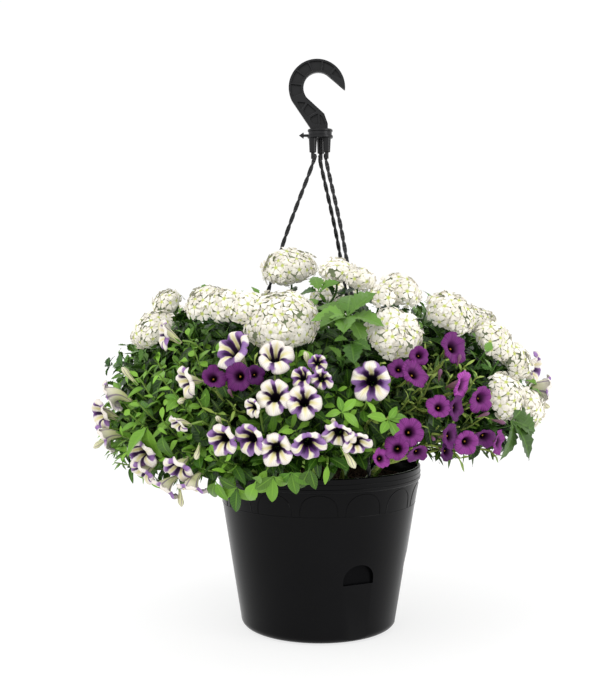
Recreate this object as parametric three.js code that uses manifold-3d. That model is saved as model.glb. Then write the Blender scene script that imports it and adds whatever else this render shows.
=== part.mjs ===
// Hanging basket planted with striped petunias, purple calibrachoas and white verbenas.
// Millimetres, +Z up, origin at the centre of the pot's flat base, front towards -Y.

import * as THREE from 'three';
import { ConvexHull } from 'three/addons/math/ConvexHull.js';
import { mergeVertices } from 'three/addons/utils/BufferGeometryUtils.js';
import Module from 'manifold-3d';

const wasm = await Module();
wasm.setup();

// Clearance between touching pieces
const GAP = 0.3;

// Pot: 23 cm hanging pot of thin moulded plastic
const POT_SIDES = 26;
const POT_HEIGHT = 184;
const POT_WALL = 2.2;
const POT_FLOOR = 3;
const RIM_RADIUS = 115;
const RIM_BAND = 16;
const RIM_STEP = 1.6;
const BASE_RADIUS = 79;
const BASE_FILLET = 9.5;

// Overflow niches in the lower wall
const NICHE_AZIMUTHS = [26, 86, 146, 206];
const NICHE_WIDTH = 36;
const NICHE_BOTTOM = 66;
const NICHE_SPRING = 72;
const NICHE_TOP = 88;
const NICHE_DEPTH = 6.5;
const NICHE_REACH = 20;

// Drain holes in the floor
const DRAIN_HOLES = 4;
const DRAIN_CIRCLE = 52;
const DRAIN_RADIUS = 5;

// Soil
const SOIL_TOP = 164;
const SOIL_CLEARANCE = 0.6;
const HOLE_DEPTH = 26;
const HOLE_RADIUS = 5.9;

// Hanger: three legs, a round hub and a flat hook
const LEG_AZIMUTHS = [-90, 30, 150];
const LEG_TURN = 25;
const LEG_WIDTH = 4.4;
const LEG_THICK = 2.8;
const LEG_BOWS = [6, 14, 14];
const LEG_CIRCLE = 105;
const EAR_THICK = 3;
const EAR_WIDTH = 16;
const EAR_TOP = 180;
const EAR_HOLE = 2.8;
const PIN_RADIUS = 2.1;
const PIN_CLEARANCE = 0.6;
const RIVET_LENGTH = 6;
const RIVET_RADIUS = 3.7;
const HUB_X = 1.2;
const HUB_RADIUS = 14.3;
const HUB_BOTTOM = 549.5;
const HUB_TOP = 559.5;
const SOCKET_CIRCLE = 9;
const SOCKET_RADIUS = 4.6;
const SOCKET_LENGTH = 16;
const SOCKET_DEPTH = 9;
const HOOK_THICK = 9;
const HOOK_WEB = 3;
const HOOK_FLANGE = 2.4;
const HOOK_RADIUS = 31.5;
const HOOK_CENTRE = [-2.5, 605.5];
const THROAT_RADIUS = 17;
const THROAT_CENTRE = [-1, 605.5];
const SHANK_HALF = 9.75;
const POCKETS = 5;
const POCKET_STEP = 32;
const POCKET_SPAN = 27;
const FIRST_POCKET = 196;

// Foliage dome: widest level, radius and how far it rises and hangs
const DOME_LEVEL = 235;
const DOME_RADIUS = 258;
const DOME_RISE = 200;
const DOME_DROP = 135;

// Stems, leaves and blooms
const TRUNK_RADIUS = 3.1;
const TRUNK_STEPS = 4;
const BRANCH_RADIUS = 1.5;
const BRANCH_STEPS = 2;
const STALK_LEAD = 14;
const SHOOT_INSET = 22;
const BLADE_THICK = 0.8;
const PETAL_THICK = 0.8;
const SMALL_BLOOM = 23;

// Verbena heads
const HEAD_CAP = 112;
const HEAD_FLAT = 0.72;
const HEAD_DEPTH = 0.7;
const HEAD_FOOT = 2.6;
const VALLEY = 0.8;

// Largest loose scrap that fusing may leave behind, in cubic millimetres
const LARGEST_SCRAP = 12;

const COLOURS = {
  blackPlastic: { color: 0x121214, roughness: 0.35, metalness: 0 },
  soil: { color: 0x2a1d14, roughness: 1, metalness: 0 },
  verbena: { color: 0xf7f5ee, roughness: 0.8, metalness: 0 },
  petunia: { color: 0xd9c9dc, roughness: 0.7, metalness: 0 },
  calibrachoa: { color: 0x6a1b9a, roughness: 0.7, metalness: 0 },
  verbenaLeaf: { color: 0x3f7a2a, roughness: 0.6, metalness: 0 },
  petuniaLeaf: { color: 0x5e9a1e, roughness: 0.6, metalness: 0 },
  calibrachoaLeaf: { color: 0x6c9a38, roughness: 0.6, metalness: 0 },
};

const radians = THREE.MathUtils.degToRad;

// Point at an azimuth from the front, positive to the right, at a radius and a height
function polar(azimuth, radius, height) {
  const a = radians(azimuth);
  return new THREE.Vector3(radius * Math.sin(a), -radius * Math.cos(a), height);
}

// Place on the dome and the direction that faces straight out of it
function domeSite(azimuth, height) {
  const reach = height > DOME_LEVEL ? DOME_RISE : DOME_DROP;
  const rise = (height - DOME_LEVEL) / reach;
  const radius = DOME_RADIUS * Math.sqrt(1 - rise * rise);
  const point = polar(azimuth, radius, height);
  const out = polar(azimuth, radius / DOME_RADIUS ** 2, rise / reach).normalize();
  return { point, out };
}

// Closed solid from a geometry, with its doubled vertices merged
function solid(geometry) {
  const bare = geometry.index ? geometry.toNonIndexed() : geometry.clone();
  bare.deleteAttribute('normal');
  bare.deleteAttribute('uv');
  const merged = mergeVertices(bare, 1e-4);
  const index = [];
  const source = merged.index.array;
  for (let i = 0; i < source.length; i += 3) {
    const [a, b, c] = [source[i], source[i + 1], source[i + 2]];
    if (a !== b && b !== c && c !== a) index.push(a, b, c);
  }
  return new wasm.Manifold(new wasm.Mesh({
    numProp: 3,
    vertProperties: new Float32Array(merged.attributes.position.array),
    triVerts: new Uint32Array(index),
  }));
}

// Separate shells of a solid, largest first, each with its volume and its triangle corners
function shellsOf(body) {
  const { vertProperties: at, triVerts } = body.getMesh();
  const parent = Array.from({ length: at.length / 3 }, (_, i) => i);
  const root = (i) => {
    while (parent[i] !== i) i = parent[i] = parent[parent[i]];
    return i;
  };
  for (let i = 0; i < triVerts.length; i += 3) {
    parent[root(triVerts[i])] = root(triVerts[i + 1]);
    parent[root(triVerts[i + 1])] = root(triVerts[i + 2]);
  }
  const shells = new Map();
  for (let i = 0; i < triVerts.length; i += 3) {
    const corners = [triVerts[i], triVerts[i + 1], triVerts[i + 2]];
    const [a, b, c] = corners.map((v) => new THREE.Vector3(at[3 * v], at[3 * v + 1], at[3 * v + 2]));
    const shell = shells.get(root(corners[0])) ?? { volume: 0, corners: [] };
    shell.volume += a.dot(b.clone().cross(c)) / 6;
    shell.corners.push(a, b, c);
    shells.set(root(corners[0]), shell);
  }
  return [...shells.values()].sort((p, q) => q.volume - p.volume);
}

function inOnePiece(body) {
  const [, next] = shellsOf(body);
  return next === undefined || next.volume < LARGEST_SCRAP;
}

// Geometry of the main shell: a hollow that fusing seals is filled, a loose scrap is dropped
function geometryOf(body) {
  return new THREE.BufferGeometry().setFromPoints(shellsOf(body)[0].corners);
}

// Geometry from points and triangles
function meshOf(points, triangles) {
  const geometry = new THREE.BufferGeometry();
  const numbers = points.flatMap((p) => [p.x, p.y, p.z]);
  geometry.setAttribute('position', new THREE.Float32BufferAttribute(numbers, 3));
  geometry.setIndex(triangles.flat());
  return geometry;
}

// Axes with z along a direction and x as near level as that allows
function facing(direction, origin, roll = 0) {
  const z = direction.clone().normalize();
  const up = Math.abs(z.z) > 0.99 ? new THREE.Vector3(0, 1, 0) : new THREE.Vector3(0, 0, 1);
  const x = new THREE.Vector3().crossVectors(up, z).normalize().applyAxisAngle(z, radians(roll));
  const y = new THREE.Vector3().crossVectors(z, x);
  return new THREE.Matrix4().makeBasis(x, y, z).setPosition(origin);
}

// Round post along z from one level to another
function post(radius, bottom, top, sides, tip = radius) {
  const cylinder = new THREE.CylinderGeometry(tip, radius, top - bottom, sides);
  return cylinder.rotateX(Math.PI / 2).translate(0, 0, (top + bottom) / 2);
}

// Turned solid from a closed list of radius and height
function turned(profile, sides = POT_SIDES) {
  const lathe = new THREE.LatheGeometry(profile.map(([r, z]) => new THREE.Vector2(r, z)), sides);
  return solid(lathe.rotateX(Math.PI / 2));
}

// Radius of the pot's outer wall at a height
function wallRadius(height) {
  const low = BASE_RADIUS + BASE_FILLET;
  const high = RIM_RADIUS - RIM_STEP;
  return low + (high - low) * (height - BASE_FILLET) / (POT_HEIGHT - RIM_BAND - BASE_FILLET);
}

// Arched block that stands in the wall of a niche, grown by a margin
function nicheBlock(azimuth, margin, inner, outer) {
  const half = NICHE_WIDTH / 2 + margin;
  const bottom = NICHE_BOTTOM - margin;
  const crown = NICHE_TOP + margin - NICHE_SPRING;
  const shape = new THREE.Shape();
  shape.moveTo(-half, bottom);
  shape.lineTo(half, bottom);
  for (let i = 0; i <= 5; i += 1) {
    const a = Math.PI * i / 5;
    shape.lineTo(half * Math.cos(a), NICHE_SPRING + crown * Math.sin(a));
  }
  const block = new THREE.ExtrudeGeometry(shape, { depth: outer - inner, bevelEnabled: false });
  block.rotateX(Math.PI / 2);
  block.translate(0, -inner, 0);
  return solid(block.rotateZ(radians(azimuth)));
}

function makePot() {
  const bandBottom = POT_HEIGHT - RIM_BAND;
  const outside = [[0, 0], [BASE_RADIUS, 0]];
  for (let i = 1; i <= 2; i += 1) {
    const a = Math.PI / 4 * i;
    outside.push([BASE_RADIUS + BASE_FILLET * Math.sin(a), BASE_FILLET * (1 - Math.cos(a))]);
  }
  outside.push([wallRadius(bandBottom), bandBottom], [RIM_RADIUS, bandBottom + RIM_STEP]);
  outside.push([RIM_RADIUS, POT_HEIGHT], [0, POT_HEIGHT]);
  const cavity = [
    [0, POT_FLOOR],
    [BASE_RADIUS, POT_FLOOR],
    [wallRadius(BASE_FILLET) - POT_WALL, BASE_FILLET + 1],
    [wallRadius(bandBottom) - POT_WALL, bandBottom],
    [RIM_RADIUS - POT_WALL - 0.6, bandBottom + RIM_STEP],
    [RIM_RADIUS - POT_WALL - 0.6, POT_HEIGHT + 1],
    [0, POT_HEIGHT + 1],
  ];
  let hollow = turned(cavity);
  const middle = wallRadius((NICHE_BOTTOM + NICHE_TOP) / 2);
  for (const azimuth of NICHE_AZIMUTHS) {
    const back = middle - NICHE_DEPTH - POT_WALL;
    hollow = hollow.subtract(nicheBlock(azimuth, POT_WALL, back, middle + NICHE_REACH));
  }
  let pot = turned(outside).subtract(hollow);
  for (const azimuth of NICHE_AZIMUTHS) {
    pot = pot.subtract(nicheBlock(azimuth, 0, middle - NICHE_DEPTH, middle + NICHE_REACH));
  }
  for (let i = 0; i < DRAIN_HOLES; i += 1) {
    const drain = post(DRAIN_RADIUS, -1, POT_FLOOR + 1, 6);
    const centre = polar(i * 360 / DRAIN_HOLES, DRAIN_CIRCLE, 0);
    pot = pot.subtract(solid(drain.translate(centre.x, centre.y, 0)));
  }
  for (const azimuth of LEG_AZIMUTHS) {
    const depth = RIM_RADIUS - 1 - (LEG_CIRCLE - EAR_WIDTH / 2);
    const ear = new THREE.BoxGeometry(EAR_WIDTH, depth, EAR_THICK);
    ear.translate(0, -(RIM_RADIUS - 1 - depth / 2), EAR_TOP - EAR_THICK / 2);
    const hole = post(EAR_HOLE, EAR_TOP - 10, EAR_TOP + 10, 6).translate(0, -LEG_CIRCLE, 0);
    const turn = radians(azimuth);
    pot = pot.add(solid(ear.rotateZ(turn))).subtract(solid(hole.rotateZ(turn)));
  }
  return pot;
}

function makeSoil(stems) {
  const clear = POT_WALL + SOIL_CLEARANCE;
  const nicheBack = wallRadius((NICHE_BOTTOM + NICHE_TOP) / 2) - NICHE_DEPTH - clear - 1;
  let soil = turned([
    [0, POT_FLOOR + GAP],
    [BASE_RADIUS - 2, POT_FLOOR + GAP],
    [nicheBack, NICHE_TOP + 3],
    [wallRadius(NICHE_TOP + 14) - clear, NICHE_TOP + 14],
    [wallRadius(SOIL_TOP) - clear, SOIL_TOP],
    [0, SOIL_TOP],
  ]);
  for (const stem of stems) {
    const foot = polar(stem.azimuth, stem.foot, 0);
    const hole = post(HOLE_RADIUS, SOIL_TOP - HOLE_DEPTH, SOIL_TOP + 5, 4);
    soil = soil.subtract(solid(hole.translate(foot.x, foot.y, 0)));
  }
  return soil;
}

// Pockets in the hook's shank, their heights taken from the top of the hub
const SHANK_POCKETS = [
  [[-25, 30], [-13, 14], [0, 18], [-14, 30]],
  [[-10, 10], [-7, 5], [6.5, 5], [3, 14]],
];

// Flat hook with an I-shaped section: a web between flanges, with ribs across it
function makeHook() {
  const arc = (centre, radius, from, to, steps) => Array.from({ length: steps + 1 }, (_, i) => {
    const a = radians(from + (to - from) * i / steps);
    return [centre[0] + radius * Math.cos(a), centre[1] + radius * Math.sin(a)];
  });
  const outline = [
    [-SHANK_HALF, HUB_TOP - 1],
    [-SHANK_HALF, HUB_TOP + 1],
    ...arc(HOOK_CENTRE, HOOK_RADIUS, 207, -5, 13),
    ...arc(THROAT_CENTRE, THROAT_RADIUS, 47, 221, 8),
    [SHANK_HALF - 4, HUB_TOP + 17],
    [SHANK_HALF, HUB_TOP + 6],
    [SHANK_HALF, HUB_TOP - 1],
  ];
  const slab = (points, depth, y) => {
    const shape = new THREE.Shape(points.map(([x, z]) => new THREE.Vector2(x, z)));
    const block = new THREE.ExtrudeGeometry(shape, { depth, bevelEnabled: false });
    return solid(block.rotateX(Math.PI / 2).translate(0, y + depth, 0));
  };
  let hook = slab(outline, HOOK_THICK, -HOOK_THICK / 2);
  const pockets = SHANK_POCKETS.map((corners) => corners.map(([x, z]) => [x, HUB_TOP + z]));
  for (let i = 0; i < POCKETS; i += 1) {
    const from = FIRST_POCKET - i * POCKET_STEP;
    const outer = arc(HOOK_CENTRE, HOOK_RADIUS - HOOK_FLANGE, from, from - POCKET_SPAN, 1);
    const inner = arc(THROAT_CENTRE, THROAT_RADIUS + HOOK_FLANGE, from - POCKET_SPAN, from, 1);
    pockets.push([...outer, ...inner]);
  }
  const deep = (HOOK_THICK - HOOK_WEB) / 2;
  for (const pocket of pockets) {
    hook = hook.subtract(slab(pocket, deep + 1, HOOK_WEB / 2));
    hook = hook.subtract(slab(pocket, deep + 1, -HOOK_WEB / 2 - deep - 1));
  }
  hook = hook.add(solid(post(HUB_RADIUS, HUB_BOTTOM, HUB_TOP, 16).translate(HUB_X, 0, 0)));
  for (const azimuth of LEG_AZIMUTHS) {
    const at = polar(azimuth + LEG_TURN, SOCKET_CIRCLE, 0);
    const bottom = HUB_BOTTOM - SOCKET_LENGTH;
    const socket = post(SOCKET_RADIUS - 0.8, bottom, HUB_BOTTOM + 1, 6, SOCKET_RADIUS);
    const bore = post(PIN_RADIUS + PIN_CLEARANCE, bottom - 1, bottom + SOCKET_DEPTH, 6);
    hook = hook.add(solid(socket.translate(at.x + HUB_X, at.y, 0)));
    hook = hook.subtract(solid(bore.translate(at.x + HUB_X, at.y, 0)));
  }
  return hook;
}

// Bar of a flat section along a smooth path
function strip(points, section, steps) {
  const shape = new THREE.Shape(section.map(([x, y]) => new THREE.Vector2(x, y)));
  const extrudePath = new THREE.CatmullRomCurve3(points);
  return solid(new THREE.ExtrudeGeometry(shape, { steps, extrudePath, bevelEnabled: false }));
}

function makeLeg(azimuth, bow) {
  const socketBottom = HUB_BOTTOM - SOCKET_LENGTH;
  const head = polar(azimuth + LEG_TURN, SOCKET_CIRCLE, socketBottom - 4);
  head.x += HUB_X;
  const foot = polar(azimuth, LEG_CIRCLE, EAR_TOP + 16);
  const path = [head, head.clone().setZ(head.z - 8)];
  for (const t of [0.3, 0.65]) {
    const out = polar(azimuth, bow * Math.sin(Math.PI * t), 0);
    path.push(head.clone().lerp(foot, t).add(out));
  }
  path.push(foot, foot.clone().setZ(EAR_TOP + GAP));
  const [w, t] = [LEG_WIDTH / 2, LEG_THICK / 2];
  let leg = strip(path, [[-w, -t], [w, -t], [w, t], [-w, t]], 7);
  const topPin = post(PIN_RADIUS, head.z - 3, socketBottom + SOCKET_DEPTH - GAP, 6);
  leg = leg.add(solid(topPin.translate(head.x, head.y, 0)));
  const under = EAR_TOP - EAR_THICK;
  const clip = [
    post(PIN_RADIUS, under - 3, EAR_TOP + 3, 6),
    post(PIN_RADIUS - 0.8, under - GAP - RIVET_LENGTH, under - GAP, 6, RIVET_RADIUS),
  ];
  for (const piece of clip) {
    leg = leg.add(solid(piece.translate(foot.x, foot.y, 0)));
  }
  return leg;
}

// Repeatable draws
function draws(seed) {
  let state = seed >>> 0;
  return () => {
    state = (state + 0x6d2b79f5) >>> 0;
    let t = state;
    t = Math.imul(t ^ (t >>> 15), t | 1);
    t ^= t + Math.imul(t ^ (t >>> 7), t | 61);
    return ((t ^ (t >>> 14)) >>> 0) / 4294967296;
  };
}

// Funnel flower of five lobes on a slender tube, mouth at the origin, facing +z. Its rim has
// a number of points; a small one opens in a plain cone, a large one in a limb round a throat
function funnel({ across, tube, throat, rimPoints }) {
  const lobed = (level) => Array.from({ length: rimPoints }, (_, i) => {
    const notch = i % (rimPoints / 5) === 0;
    const radius = across / 2 * (notch ? 0.86 : 1);
    const a = 2 * Math.PI * i / rimPoints;
    return new THREE.Vector3(radius * Math.cos(a), radius * Math.sin(a), level + (notch ? -0.8 : 0.8));
  });
  const ring = (radius, level) => Array.from({ length: 5 }, (_, i) => {
    const a = 2 * Math.PI * i / 5;
    return new THREE.Vector3(radius * Math.cos(a), radius * Math.sin(a), level);
  });
  const points = [];
  const add = (list) => list.map((point) => points.push(point) - 1);
  const [pit] = add([new THREE.Vector3(0, 0, -tube * 0.42)]);
  const front = add(lobed(0));
  const back = add(lobed(-PETAL_THICK));
  const end = add(ring(2.2, -tube));
  const plain = rimPoints === 10;
  const mouth = plain ? null : add(ring(throat, -tube * 0.12));
  const neck = plain ? end : add(ring(throat + 0.8, -tube * 0.2));
  const triangles = [];
  const per = rimPoints / 5;
  for (let i = 0; i < 5; i += 1) {
    const j = (i + 1) % 5;
    const turn = i * per + Math.ceil(per / 2);
    for (let k = i * per; k < (i + 1) * per; k += 1) {
      const next = (k + 1) % rimPoints;
      const near = k < turn ? i : j;
      triangles.push([plain ? pit : mouth[near], front[k], front[next]]);
      triangles.push([neck[near], back[next], back[k]]);
      triangles.push([front[k], back[k], back[next]], [front[k], back[next], front[next]]);
    }
    if (!plain) triangles.push([mouth[i], front[turn], mouth[j]], [pit, mouth[i], mouth[j]]);
    triangles.push([neck[i], neck[j], back[turn]]);
    if (!plain) triangles.push([neck[i], end[i], end[j]], [neck[i], end[j], neck[j]]);
    if (i > 0 && i < 4) triangles.push([end[0], end[j], end[i]]);
  }
  return meshOf(points, triangles);
}

// Direction of a bloom: straight out of the dome, turned sideways and tilted up
function bloomDirection(site, turn, tilt) {
  const side = new THREE.Vector3(-site.out.y, site.out.x, 0).normalize();
  const upward = new THREE.Vector3(0, 0, 1);
  const sideways = site.out.clone().applyAxisAngle(upward, radians(turn));
  return sideways.applyAxisAngle(side.applyAxisAngle(upward, radians(turn)), radians(-tilt));
}

// Domed flower head: florets with five petal tips round a sunken eye, as one closed relief
function headRelief(radius, florets, random) {
  const cap = radians(HEAD_CAP);
  const reach = Math.sqrt(2 * (1 - Math.cos(cap)) / florets);
  const rays = [];
  const far = (direction, list, least) => list.every((ray) => ray.direction.angleTo(direction) > least);
  const valleys = [];
  for (let i = 0; i < florets; i += 1) {
    const fall = Math.acos(1 - (1 - Math.cos(cap)) * (i + 0.5) / florets);
    const centre = new THREE.Vector3(0, 0, 1).applyAxisAngle(new THREE.Vector3(0, 1, 0), fall);
    centre.applyAxisAngle(new THREE.Vector3(0, 0, 1), i * 2.4 + 0.3);
    rays.push({ direction: centre, length: radius - 1.2 });
    const side = new THREE.Vector3().crossVectors(centre, new THREE.Vector3(0.3, 1, 0.2)).normalize();
    const start = random() * 2;
    for (let k = 0; k < 5; k += 1) {
      const around = start + 2 * Math.PI * k / 5;
      const tipAxis = side.clone().applyAxisAngle(centre, around);
      const tip = centre.clone().applyAxisAngle(tipAxis, reach * 0.76);
      rays.push({ direction: tip, length: radius + 1 + random() });
      const dipAxis = side.clone().applyAxisAngle(centre, around + Math.PI / 5);
      const dip = centre.clone().applyAxisAngle(dipAxis, reach * 0.95);
      valleys.push({ direction: dip, length: radius * VALLEY });
    }
  }
  for (const valley of valleys) {
    if (far(valley.direction, rays, reach * 0.4)) rays.push(valley);
  }
  for (let i = 0; i < 5; i += 1) {
    const a = 2 * Math.PI * i / 5;
    const low = new THREE.Vector3(Math.cos(a), Math.sin(a), -1.1).normalize();
    rays.push({ direction: low, length: radius * 0.62 });
    const [x, y] = [HEAD_FOOT * Math.cos(a), HEAD_FOOT * Math.sin(a)];
    const foot = new THREE.Vector3(x, y, -radius * HEAD_DEPTH);
    rays.push({ direction: foot.clone().normalize(), length: foot.length() });
  }
  const hull = new ConvexHull().setFromPoints(rays.map((ray) => ray.direction));
  const number = new Map(rays.map((ray, i) => [ray.direction, i]));
  const triangles = [];
  for (const face of hull.faces) {
    const corners = [];
    let edge = face.edge;
    do {
      corners.push(number.get(edge.head().point));
      edge = edge.next;
    } while (edge !== face.edge);
    for (let i = 1; i < corners.length - 1; i += 1) {
      triangles.push([corners[0], corners[i], corners[i + 1]]);
    }
  }
  return meshOf(rays.map((ray) => ray.direction.clone().multiplyScalar(ray.length)), triangles);
}

// Thin leaf along x with a folded midrib. Its rows run from the root to the tip, each with a
// place along the leaf and a share of the width; a row marked as notch has no midrib point
function leafBlade({ length, width, rows, droop, fold }, thick = BLADE_THICK, grow = 0, start = 0) {
  const points = [];
  const put = (x, y) => {
    const z = fold * Math.abs(y) - droop * x * x / length;
    points.push(new THREE.Vector3(x, y, z + thick / 2), new THREE.Vector3(x, y, z - thick / 2));
    return points.length - 2;
  };
  const root = 0.55 + start / 8;
  const leftEdge = [put(start, root)];
  const rightEdge = [put(start, -root)];
  const faces = [];
  let rib = null;
  for (const { along, share, notch } of rows) {
    const half = share * width / 2 + grow;
    const left = put(along * length, half);
    const right = put(along * length, -half);
    const middle = notch ? rib : put(along * length, 0);
    const [lastLeft, lastRight] = [leftEdge.at(-1), rightEdge.at(-1)];
    faces.push([lastLeft, middle, left], [lastRight, right, middle]);
    if (rib === null) faces.push([lastLeft, lastRight, middle]);
    else if (!notch) faces.push([lastLeft, rib, middle], [lastRight, middle, rib]);
    rib = middle;
    leftEdge.push(left);
    rightEdge.push(right);
  }
  const tip = put(length + grow, 0);
  faces.push([leftEdge.at(-1), rib, tip], [rightEdge.at(-1), tip, rib]);
  const triangles = faces.flatMap(([a, b, c]) => [[a, b, c], [a + 1, c + 1, b + 1]]);
  const loop = [...rightEdge, tip, ...leftEdge.reverse()];
  loop.forEach((a, i) => {
    const b = loop[(i + 1) % loop.length];
    triangles.push([a, a + 1, b + 1], [a, b + 1, b]);
  });
  return meshOf(points, triangles);
}

const LEAVES = {
  verbena: {
    length: 36, width: 25, droop: 0.25, fold: 0.25,
    rows: [{ along: 0.36, share: 1 }, { along: 0.5, share: 0.6, notch: true }, { along: 0.7, share: 0.85 }],
  },
  petunia: {
    length: 44, width: 24, droop: 0.3, fold: 0.2,
    rows: [{ along: 0.35, share: 0.9 }, { along: 0.72, share: 0.95 }],
  },
  calibrachoa: {
    length: 26, width: 8, droop: 0.2, fold: 0.2,
    rows: [{ along: 0.3, share: 0.9 }, { along: 0.7, share: 0.9 }],
  },
};

// Flower heads of verbena: azimuth, height and radius of each
const VERBENA_HEADS = {
  verbena_heads_front: [[-12, 369, 36], [-23, 373, 19], [-33, 377, 19], [-43, 379, 21]],
  verbena_head_top: [[-22, 423, 30]],
  verbena_heads_left: [[-62, 350, 24], [-70, 376, 19]],
  verbena_head_right: [[22, 351, 28]],
  verbena_heads_crown: [[9, 410, 17], [17, 401, 16]],
  verbena_heads_upper_right: [[33, 392, 21], [22, 383, 13]],
  verbena_head_shoulder: [[50, 371, 27]],
  verbena_heads_far_right: [[61, 338, 24], [67, 314, 22]],
  verbena_heads_low_right: [[53, 278, 24], [64, 260, 22]],
  verbena_head_back_left: [[-112, 350, 30]],
  verbena_head_back_right: [[108, 348, 30]],
  verbena_head_back_top: [[172, 388, 32]],
};

// Petunia blooms: azimuth, height, width across, and any turn sideways and tilt upwards
const PETUNIA_BLOOMS = {
  petunia_upper_left: [[-22, 328, 42, -10, 8]],
  petunia_pale_left: [[-32, 292, 33, -25, -20]],
  petunia_faded_top: [[-10, 322, 34, 0, 12]],
  petunias_centre: [
    [0, 315, 18], [-4, 302, 22], [1, 298, 22],
    [-10, 283, 35], [-3, 278, 34], [-15, 271, 20],
  ],
  petunias_front: [
    [-21, 240, 33], [-15, 243, 33], [-9, 233, 34, 0, -5],
    [-2, 237, 33], [4, 246, 32], [8, 239, 28],
  ],
  petunia_facing_front: [[11, 296, 40, -8, -15]],
  petunias_side_left: [[-59, 270, 36, -6], [-65, 250, 36], [-62, 226, 36, 0, -5]],
  petunias_low_left: [[-44, 218, 34, -4], [-46, 196, 34], [-41, 182, 33]],
  petunias_trailing_left: [[-33, 206, 33], [-31, 186, 33]],
  petunia_profile_left: [[-46, 337, 32, -30, -20]],
  petunia_small_left: [[-32, 252, 22, -30, -10]],
  petunias_side_back: [[-136, 280, 40], [-129, 260, 40]],
  petunias_right_side: [[87, 292, 40], [81, 270, 40]],
};

// Calibrachoa blooms, given the same way
const CALIBRACHOA_BLOOMS = {
  calibrachoa_upper_right: [[35, 326, 32, 0, 8]],
  calibrachoas_right_top: [[24, 319, 20], [22, 304, 30], [18, 308, 20]],
  calibrachoas_right: [[34, 290, 33], [39, 276, 28], [31, 269, 26], [26, 272, 24]],
  calibrachoas_front_right: [[19, 250, 28], [16, 236, 26], [13, 227, 20], [21, 229, 22]],
  calibrachoas_low_right: [[29, 244, 26], [33, 236, 26], [38, 238, 26], [43, 233, 26], [28, 230, 20]],
  calibrachoas_left: [[-18, 300, 28], [-24, 300, 26], [-14, 303, 20]],
  calibrachoas_back: [[166, 272, 30], [171, 282, 30], [177, 272, 30]],
};

// Leafy sprays: azimuth and radius of the foot, radius and height of the fork, the flowers
// that each carries, and its leafy shoots without flowers as azimuth and height
const SPRAYS = [
  { name: 'verbena_spray_top', azimuth: -3, foot: 14, fork: [66, 330], kind: 'verbena',
    feeds: ['verbena_head_top', 'verbena_heads_crown'], shoots: [] },
  { name: 'verbena_spray_front', azimuth: -21, foot: 30, fork: [100, 300], kind: 'verbena',
    feeds: ['verbena_heads_front'], shoots: [] },
  { name: 'verbena_spray_left', azimuth: -57, foot: 38, fork: [105, 285], kind: 'verbena',
    feeds: ['verbena_heads_left'], shoots: [[-74, 304]] },
  { name: 'verbena_spray_right', azimuth: 19, foot: 36, fork: [100, 290], kind: 'verbena',
    feeds: ['verbena_head_right', 'verbena_heads_upper_right'], shoots: [[7, 355], [6, 328]] },
  { name: 'verbena_spray_shoulder', azimuth: 50, foot: 36, fork: [110, 275], kind: 'verbena',
    feeds: ['verbena_head_shoulder', 'verbena_heads_far_right'], shoots: [[72, 350]] },
  { name: 'verbena_spray_low_right', azimuth: 58, foot: 66, fork: [130, 222], kind: 'verbena',
    feeds: ['verbena_heads_low_right'], shoots: [[65, 228]] },
  { name: 'verbena_spray_back_left', azimuth: -116, foot: 34, fork: [100, 285], kind: 'verbena',
    feeds: ['verbena_head_back_left'], shoots: [[-98, 318], [-138, 345]] },
  { name: 'verbena_spray_back_right', azimuth: 110, foot: 34, fork: [100, 285], kind: 'verbena',
    feeds: ['verbena_head_back_right'], shoots: [[135, 345]] },
  { name: 'verbena_spray_back_top', azimuth: 178, foot: 16, fork: [70, 325], kind: 'verbena',
    feeds: ['verbena_head_back_top'], shoots: [[-160, 330]] },
  { name: 'petunia_spray_upper_left', azimuth: -38, foot: 54, fork: [120, 255], kind: 'petunia',
    feeds: ['petunia_upper_left', 'petunia_pale_left', 'petunia_profile_left'], shoots: [[-40, 320]] },
  { name: 'petunia_spray_side_left', azimuth: -66, foot: 72, fork: [135, 208], kind: 'petunia',
    feeds: ['petunias_side_left'], shoots: [[-78, 240], [-72, 185]] },
  { name: 'petunia_spray_low_left', azimuth: -42, foot: 84, fork: [138, 196], kind: 'petunia',
    feeds: ['petunias_low_left', 'petunias_trailing_left', 'petunia_small_left'],
    shoots: [[-21, 190], [-55, 170]] },
  { name: 'petunia_spray_centre', azimuth: -4, foot: 54, fork: [120, 248], kind: 'petunia',
    feeds: ['petunia_faded_top', 'petunias_centre', 'petunia_facing_front'], shoots: [] },
  { name: 'petunia_spray_front', azimuth: -3, foot: 84, fork: [140, 204], kind: 'petunia',
    feeds: ['petunias_front'], shoots: [[-12, 204], [2, 212]] },
  { name: 'petunia_spray_back', azimuth: -130, foot: 70, fork: [130, 215], kind: 'petunia',
    feeds: ['petunias_side_back'], shoots: [[-142, 225], [-108, 215]] },
  { name: 'petunia_spray_right_side', azimuth: 84, foot: 66, fork: [130, 220], kind: 'petunia',
    feeds: ['petunias_right_side'], shoots: [[98, 225], [106, 285]] },
  { name: 'calibrachoa_spray_left', azimuth: -17, foot: 68, fork: [128, 236], kind: 'calibrachoa',
    feeds: ['calibrachoas_left'], shoots: [[-25, 268]] },
  { name: 'calibrachoa_spray_right', azimuth: 24, foot: 60, fork: [125, 240], kind: 'calibrachoa',
    feeds: ['calibrachoa_upper_right', 'calibrachoas_right_top', 'calibrachoas_right'], shoots: [] },
  { name: 'calibrachoa_spray_low_right', azimuth: 36, foot: 84, fork: [140, 204], kind: 'calibrachoa',
    feeds: ['calibrachoas_front_right', 'calibrachoas_low_right'], shoots: [[36, 210], [50, 205]] },
  { name: 'calibrachoa_spray_back', azimuth: 166, foot: 70, fork: [130, 215], kind: 'calibrachoa',
    feeds: ['calibrachoas_back'], shoots: [[148, 235], [-168, 225]] },
];

const pieces = new Map();
const flowers = new Map();

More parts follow.
